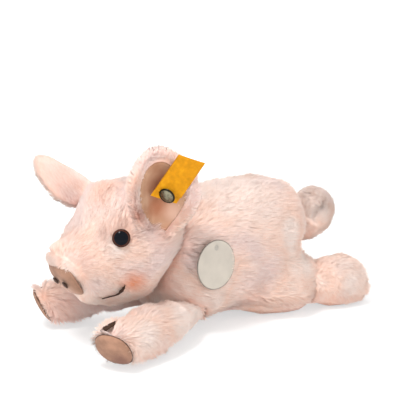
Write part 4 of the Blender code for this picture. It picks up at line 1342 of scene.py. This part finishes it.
def stroke(name, spots, normals, widths, thick, made):
    """A flat line of satin stitches of varying width along spots on a form."""
    count = len(spots)
    line = smooth_line([np.array(spot) for spot in spots])
    ups = smooth_line([np.array(normal) for normal in normals])
    wide = np.interp(np.arange(len(line)) / 6, np.arange(count), widths)
    layers = []
    for index, (spot, up, width) in enumerate(zip(line, ups, wide)):
        way = line[min(index + 1, len(line) - 1)] - line[max(index - 1, 0)]
        side = unit(np.cross(way, up)[None])[0]
        jag = 1 + 0.16 * math.sin(index * 2.1) + 0.1 * math.sin(index * 0.9)
        layers.append([Vector(spot + side * math.cos(turn) * width * jag / 2 + up * math.sin(turn) * thick / 2)
                       for turn in np.arange(12) * math.tau / 12])
    mesh = closed_mesh(name, layers)
    mesh.shade_smooth()
    return add_object(name, mesh, made)


SKIN = skin_material()
FIBRES = fibre_material()
VELOUR_CLOTH = velour_material()
mouth_hits = [drawn_on(skins["head"].outer, pixel) for pixel, _ in MOUTH_LINE]
toe_hits = [drawn_on(skins["leg_front_left"].outer, pixel) for pixel, _ in TOE_LINE]
toe_spots = np.array([spot for spot, _ in toe_hits])
mouth_spots = np.array([spot for spot, _ in mouth_hits])
mouth_spots = np.concatenate([mouth_spots, mouth_spots * np.array([-1, 1, 1])])


def cull(pile, key):
    """Drops fibres whose roots lie deep inside another stuffed piece."""
    for other, tree in trees.items():
        if other == key or "ear" in other:
            continue
        low, high = skins[other].places.min(axis=0), skins[other].places.max(axis=0)
        close = ((pile.roots > low) & (pile.roots < high)).all(axis=1)
        hidden = np.zeros(len(pile.roots), dtype=bool)
        hidden[close] = hidden_in(pile.roots[close], tree, BURIED)
        pile.keep(~hidden)


def dress(key, comb, parts=1, **shape):
    """Shows a skin and its pile, in one or more pieces, without the fibres that felt or thread would cover."""
    skin = skins[key]
    made = [add_object(skin.name, skin.mesh, SKIN)]
    skin.mesh.shade_smooth()
    pile = Pile(skin, FIBRE_COUNTS[key.split("_")[0]], comb, seed=sum(map(ord, key)), **shape)
    cull(pile, key)
    if key == "head":
        for centre, _ in EYES.values():
            pile.part_round(centre, EYE_RADIUS + 0.2 * MM, 0.2 * MM)
        upper = smooth_step(-2 * MM, 6 * MM, pile.roots[:, 2] - SNOUT_CENTRE[2])
        pile.level_off(SNOUT_CENTRE, SNOUT_WAY, SNOUT_REACH, (0.8 + 1.8 * upper) * MM)
        pile.clear_of(mouth_spots, MOUTH_GAP)
    if key.startswith("leg_"):
        sole = key.replace("leg_", "sole_pad_")
        centre, way = felt_frame(sole)
        pile.level_off(centre, way, SOLE_REACH, SOLE_LEVEL)
        axes = np.stack(in_plane(way), axis=1)
        half = np.abs((cad_vertices(sole) - centre) @ axes).max(axis=0)
        offset = pile.roots - centre
        under = (np.linalg.norm(offset @ axes / half, axis=1) < 0.99) & (offset @ way > -3 * MM)
        pile.keep(~under)
        if key == "leg_front_left":
            pile.clear_of(toe_spots, TOE_GAP)
    if key == "torso":
        pile.press(CARD_CENTRE, CARD_WAY, *CARD_PRESS)
    order = np.argsort(np.arctan2(pile.roots[:, 2] - 38 * MM, pile.roots[:, 0]))
    for index, chosen in enumerate(np.array_split(order, parts)):
        part = object.__new__(Pile)
        part.__dict__.update(pile.__dict__)
        part.keep(chosen)
        word = "" if parts == 1 else "_" + "abcdef"[index]
        made.append(part.build("pile_" + key + word, FIBRES))
    return made


def join_at_root(items):
    """Bakes each piece's transform into its mesh."""
    for item in items:
        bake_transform(item)


_, CARD_AXIS = node_frame("chest_tag")
CARD_AXIS = Vector(CARD_AXIS * math.copysign(1, CARD_AXIS[0]))
low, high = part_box("chest_tag")
turn_card = Matrix.Rotation(CARD_TURN, 3, "Z")
CARD_WAY = np.array(turn_card @ CARD_AXIS)
CARD_CENTRE = np.array((low + high) / 2) + CARD_WAY * 0.8 * MM

torso_pieces = dress("torso", back_comb, 4)
head_pieces = dress("head", head_comb, 2, tuft=1.5 * MM)
for item in torso_pieces + head_pieces:
    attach(item, "torso")
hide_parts("torso_skin", "torso_filling")
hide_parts("head_skin", "head_filling", "eye_washer_left", "eye_washer_right")

for word in LEGS:
    root, ahead = leg_line(word)
    made = dress("leg_" + word, leg_comb(word, ahead))
    join_at_root(made)
    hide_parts("leg_skin_" + word, "leg_filling_" + word)

for word, ear in EARS.items():
    made = dress("ear_" + word, ear.comb, lean=0.9, wild=0.10, own=0.9)
    join_at_root(made)
    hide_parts("ear_" + word)
    seated(ear.lining(), "ear_" + word, "ear_lining_" + word)

made = dress("tail", tail_comb, long=1.3)
join_at_root(made)
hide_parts("tail")


# Felt, embroidery and eyes

def widened(spots):
    """Carries the sides of the snout outwards and forward, more towards its rim."""
    share = np.clip(np.abs(spots[:, 0]) / SNOUT_RADIUS, 0, 1) ** 2
    side = np.sign(spots[:, 0])
    out, ahead = SNOUT_WIDEN_WAY
    return spots + SNOUT_WIDEN * share[:, None] * np.stack([side * out, side * 0 + ahead, side * 0], axis=1)


snout = shown("felt_snout", "snout_disc", FELT_CLOTH, "torso", SNOUT_SINK, SNOUT_CROWN)
move_vertices(snout.data, widened(mesh_arrays(snout.data)[0]))


def leg_axes(word):
    """Middle of a sole and the leg's ahead, sideways and upward directions."""
    _, ahead = leg_line(word)
    low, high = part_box("sole_pad_" + word)
    return (low + high) / 2, ahead, Vector(UP).cross(ahead), Vector(UP)


def make_toe(word, share):
    """The split of the toes, drawn on the left foot and carried over to another."""
    middle, *axes = leg_axes("front_left")
    other, *turned = leg_axes(word)
    spots, normals = [], []
    for spot, _ in toe_hits:
        offset = (spot - middle) * share
        target = other + sum((way * offset.dot(axis) for axis, way in zip(axes, turned)), Vector())
        found, normal, _, _ = skins["leg_" + word].outer.find_nearest(target)
        spots.append(found + normal * (STITCH_LIFT if share == 1 else -HIDDEN_TOE_SINK))
        normals.append(normal)
    toe = stroke("stitched_toe_" + word, spots, normals, [width * MM * share for _, width in TOE_LINE],
                 TOE_THICK, THREAD)
    seated(toe, "leg_" + word, "hoof_cleft_" + word)


def make_seam(word, pad):
    """Thread round the edge of a sole, heavier along its lower side."""
    places, _, _ = mesh_arrays(pad.data)
    centre, way = felt_frame("sole_pad_" + word)
    side, up = in_plane(way)
    layers = []
    for turn in np.arange(72) * math.tau / 72:
        out = side * math.cos(turn) + up * math.sin(turn)
        spot = places[np.argmax((places - centre) @ out)] + out * 0.05 * MM
        radius = SEAM_THREAD * (1 + 0.5 * max(-math.sin(turn), 0) + 0.2 * math.sin(turn * 31))
        layers.append([Vector(spot + (out * math.cos(k) + way * math.sin(k)) * radius)
                       for k in np.arange(8) * math.tau / 8])
    bm = bmesh.new()
    rings = [[bm.verts.new(point) for point in ring] for ring in layers]
    walls(bm, rings + rings[:1])
    bmesh.ops.recalc_face_normals(bm, faces=bm.faces)
    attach(add_object("seam_" + word, finished(bm, "seam_" + word, 0), THREAD), "leg_" + word)


for word in LEGS:
    pad = shown("felt_sole_" + word, "sole_pad_" + word, FELT_CLOTH, "leg_" + word, SOLE_SINK)
    make_seam(word, pad)
    if "front" in word:
        make_toe(word, 1.0 if "left" in word else HIDDEN_TOE_SHARE)
    else:
        shown("stitched_cleft_" + word, "hoof_cleft_" + word, THREAD, "leg_" + word)
for word, side in (("left", 1), ("right", -1)):
    flip = Vector((side, 1, 1))
    spots = [(spot + normal * STITCH_LIFT) * flip for spot, normal in mouth_hits]
    mouth = stroke("stitched_mouth_" + word, spots, [normal * flip for _, normal in mouth_hits],
                   [width * MM for _, width in MOUTH_LINE], MOUTH_THICK, THREAD)
    seated(mouth, "torso", "mouth_" + word)
    spot = cad_vertices("nostril_" + word).mean(axis=0) + np.array([side * NOSTRIL_SHIFT[word], 0.0, -NOSTRIL_DROP])
    spot += SNOUT_WAY * SNOUT_CROWN * (1 - (np.linalg.norm(spot - SNOUT_CENTRE) / SNOUT_RADIUS) ** 4)
    spot = widened(spot[None])[0]
    profile = [(0.0, 0.30 * MM), (1.0 * MM, 0.28 * MM), (NOSTRIL_RADIUS - 0.3 * MM, 0.18 * MM),
               (NOSTRIL_RADIUS, -0.1 * MM), (NOSTRIL_RADIUS - 0.3 * MM, -0.5 * MM), (0.0, -0.5 * MM)]
    nostril = lathe("stitched_nostril_" + word, profile, Vector(spot), SNOUT_WAY, THREAD, 40)
    seated(nostril, "torso", "nostril_" + word)
for word, (centre, way) in EYES.items():
    dome = [(EYE_RADIUS * math.sin(bend), EYE_RIM + EYE_DOME_RISE * math.cos(bend))
            for bend in (math.pi / 2 * k / 24 for k in range(25))]
    eye = lathe("glossy_eye_" + word, dome + [(EYE_RADIUS, 0.0), (EYE_RADIUS * 0.7, -0.8 * MM), (0.0, -0.8 * MM)],
                centre, way, EYE, 72, "ring")
    seated(eye, "torso", "eye_" + word)


# Tags

def make_card():
    """A coated card disc with a softly cut edge and a punched hole."""
    axis = Vector(CARD_WAY)
    centre = Vector(CARD_CENTRE)
    hole = Vector(JOINTS["chest_tag"]["pos_m"])
    hole += axis * (centre - hole).dot(axis) - centre
    side = axis.orthogonal().normalized()
    up = axis.cross(side)
    steps = (0.0, 0.25, 0.5, 0.75, 0.92, 0.97, 1.0)
    rows = [(step, 0.3 * MM if step < 1 else 0.12 * MM) for step in steps]
    rows += [(step, -height) for step, height in reversed(rows)]
    bm = bmesh.new()
    layer = bm.verts.layers.float.new("ring")
    rings = []
    for step, height in rows:
        ring = []
        for turn in np.arange(96) * math.tau / 96:
            way = side * math.cos(turn) + up * math.sin(turn)
            across = hole.dot(way)
            reach = math.sqrt(across ** 2 - hole.length_squared + CARD_RADIUS ** 2) - across
            spot = hole + way * (1.3 * MM + (reach - 1.3 * MM) * step)
            vert = bm.verts.new(centre + spot + axis * height)
            vert[layer] = spot.length / CARD_RADIUS
            ring.append(vert)
        rings.append(ring)
    walls(bm, rings + rings[:1])
    bmesh.ops.recalc_face_normals(bm, faces=bm.faces)
    seated(add_object("round_card", finished(bm, "round_card", 20), CARD_STOCK), "chest_tag", "chest_tag")


def make_ribbon():
    """One length of woven ribbon, folded at its top and held at its ends by the button."""
    front = Vector(JOINTS["ear_tag"]["pos_m"]) + RIBBON_SHIFT
    across, rise = RIBBON_ACROSS, RIBBON_RISE
    way = across.cross(rise).normalized()
    top, gap = RIBBON_TOP, RIBBON_GAP
    path = [(a, -gap) for a in np.linspace(-RIBBON_END - RIBBON_PEEP, top - gap / 2, 40)]
    path += [(top - gap / 2 + gap / 2 * math.sin(bend), -gap / 2 - gap / 2 * math.cos(bend))
             for bend in np.linspace(0, math.pi, 12)[1:]]
    path += [(a, 0.0) for a in np.linspace(top - gap / 2, -RIBBON_END, 40)[1:]]
    bm = bmesh.new()
    layer = bm.loops.layers.uv.new("weave")
    across_steps = 16
    rows, walked = [], 0.0
    for index, (a, h) in enumerate(path):
        if index:
            walked += math.dist(path[index], path[index - 1])
        bend = RIBBON_BEND * max(a, 0.0) ** 2 / top
        row = []
        for k in range(across_steps + 1):
            c = (k / across_steps - 0.5) * RIBBON_WIDTH
            crown = 0.5 * MM * (1 - (2 * c / RIBBON_WIDTH) ** 2)
            tail_end = max(1 - index / 6, 0)
            notch = RIBBON_NOTCH * tail_end * max(1 - abs(c - 1.5 * MM) / (4 * MM), 0)
            point = front + rise * (a + notch) + across * c + way * (h - 0.35 * MM + bend + crown)
            row.append((bm.verts.new(point), (c, walked)))
        rows.append(row)
    for low_row, high_row in zip(rows, rows[1:]):
        for k in range(across_steps):
            four = (low_row[k], low_row[k + 1], high_row[k + 1], high_row[k])
            face = bm.faces.new([vert for vert, _ in four])
            for loop, (_, spot) in zip(face.loops, four):
                loop[layer].uv = (spot[0] / MM, spot[1] / MM)
    item = add_object("ribbon_tag", finished(bm, "ribbon_tag"), RIBBON)
    body = item.modifiers.new("body", "SOLIDIFY")
    body.thickness = 0.35 * MM
    body.offset = 0
    mesh = evaluated(item)
    item = add_object("ribbon_tag", mesh, RIBBON)
    mesh.shade_smooth()
    mesh.set_sharp_from_angle(angle=math.radians(40))
    seated(item, "ear_tag", "ear_tag")


def make_button():
    """A thin pressed dome with a rolled rim."""
    centre = Vector(JOINTS["ear_tag"]["pos_m"]) + RIBBON_SHIFT + CAMERA_BACK * BUTTON_LIFT
    radius = BUTTON_RADIUS
    profile = [(0.0, 1.35 * MM), (radius * 0.3, 1.3 * MM), (radius * 0.55, 1.12 * MM), (radius * 0.72, 0.86 * MM),
               (radius * 0.80, 0.72 * MM), (radius * 0.86, 0.80 * MM), (radius * 0.93, 0.78 * MM),
               (radius * 0.985, 0.55 * MM), (radius, 0.25 * MM), (radius * 0.97, 0.0), (0.0, 0.0)]
    button = lathe("pressed_button", profile, centre, BUTTON_AXIS, METAL, 72, "ring")
    seated(button, "ear_left", "ear_button")


make_card()
make_ribbon()
make_button()
for name, made in (("ear_button_back", METAL), ("chest_tag_thread", CORD)):
    frame["nodes"][name].data.materials.clear()
    frame["nodes"][name].data.materials.append(made)


# Stage

def area_lamp(name, place, target, size, power):
    light = bpy.data.lights.new(name, "AREA")
    light.shape = "DISK"
    light.size = size
    light.energy = power
    item = bpy.data.objects.new(name, light)
    bpy.context.collection.objects.link(item)
    item.location = place
    item.rotation_euler = (Vector(target) - Vector(place)).to_track_quat("-Z", "Y").to_euler()
    return item


def white_world():
    """White to the camera and in reflections, plain light for the rest."""
    world = bpy.data.worlds.new("studio")
    bpy.context.scene.world = world
    world.use_nodes = True
    nodes = world.node_tree.nodes
    lit = nodes["Background"]
    lit.inputs["Color"].default_value = (*WHITE, 1)
    lit.inputs["Strength"].default_value = WORLD_LIGHT
    seen = node(world, "ShaderNodeBackground", Color=(*WHITE, 1), Strength=1.0)
    mix = node(world, "ShaderNodeMixShader", [(0, seen_rays(world)), (1, lit.outputs[0]), (2, seen.outputs[0])])
    world.node_tree.links.new(mix.outputs[0], nodes["World Output"].inputs["Surface"])


bm = bmesh.new()
bmesh.ops.create_grid(bm, x_segments=1, y_segments=1, size=3.0)
add_object("floor", finished(bm, "floor"), floor_material())
white_world()
for name, spot, size, power in LAMPS:
    area_lamp(name, spot, LAMP_AIM, size, power).visible_glossy = False

# A small lamp for the catch-light in the eye, where the dome mirrors it to the camera
eye_centre, eye_way = EYES["left"]
glint = (Vector(eye_way) * 0.86 - CAMERA_RIGHT * 0.16 + CAMERA_UP * 0.42).normalized()
mirrored = glint * (2 * glint.dot(CAMERA_BACK)) - CAMERA_BACK
area_lamp("catch", Vector(eye_centre) + mirrored * 0.9, Vector(eye_centre), 0.20, 5.0)

camera = bpy.data.objects.new("camera", bpy.data.cameras.new("camera"))
bpy.context.collection.objects.link(camera)
camera.data.lens = CAMERA_LENS
camera.data.sensor_width = 36
camera.data.clip_end = 20
turn = Matrix((CAMERA_RIGHT, CAMERA_UP, CAMERA_BACK)).transposed().to_4x4()
camera.matrix_world = Matrix.Translation(CAMERA_PLACE) @ turn
bpy.context.scene.camera = camera
bpy.context.scene.view_settings.view_transform = "Standard"
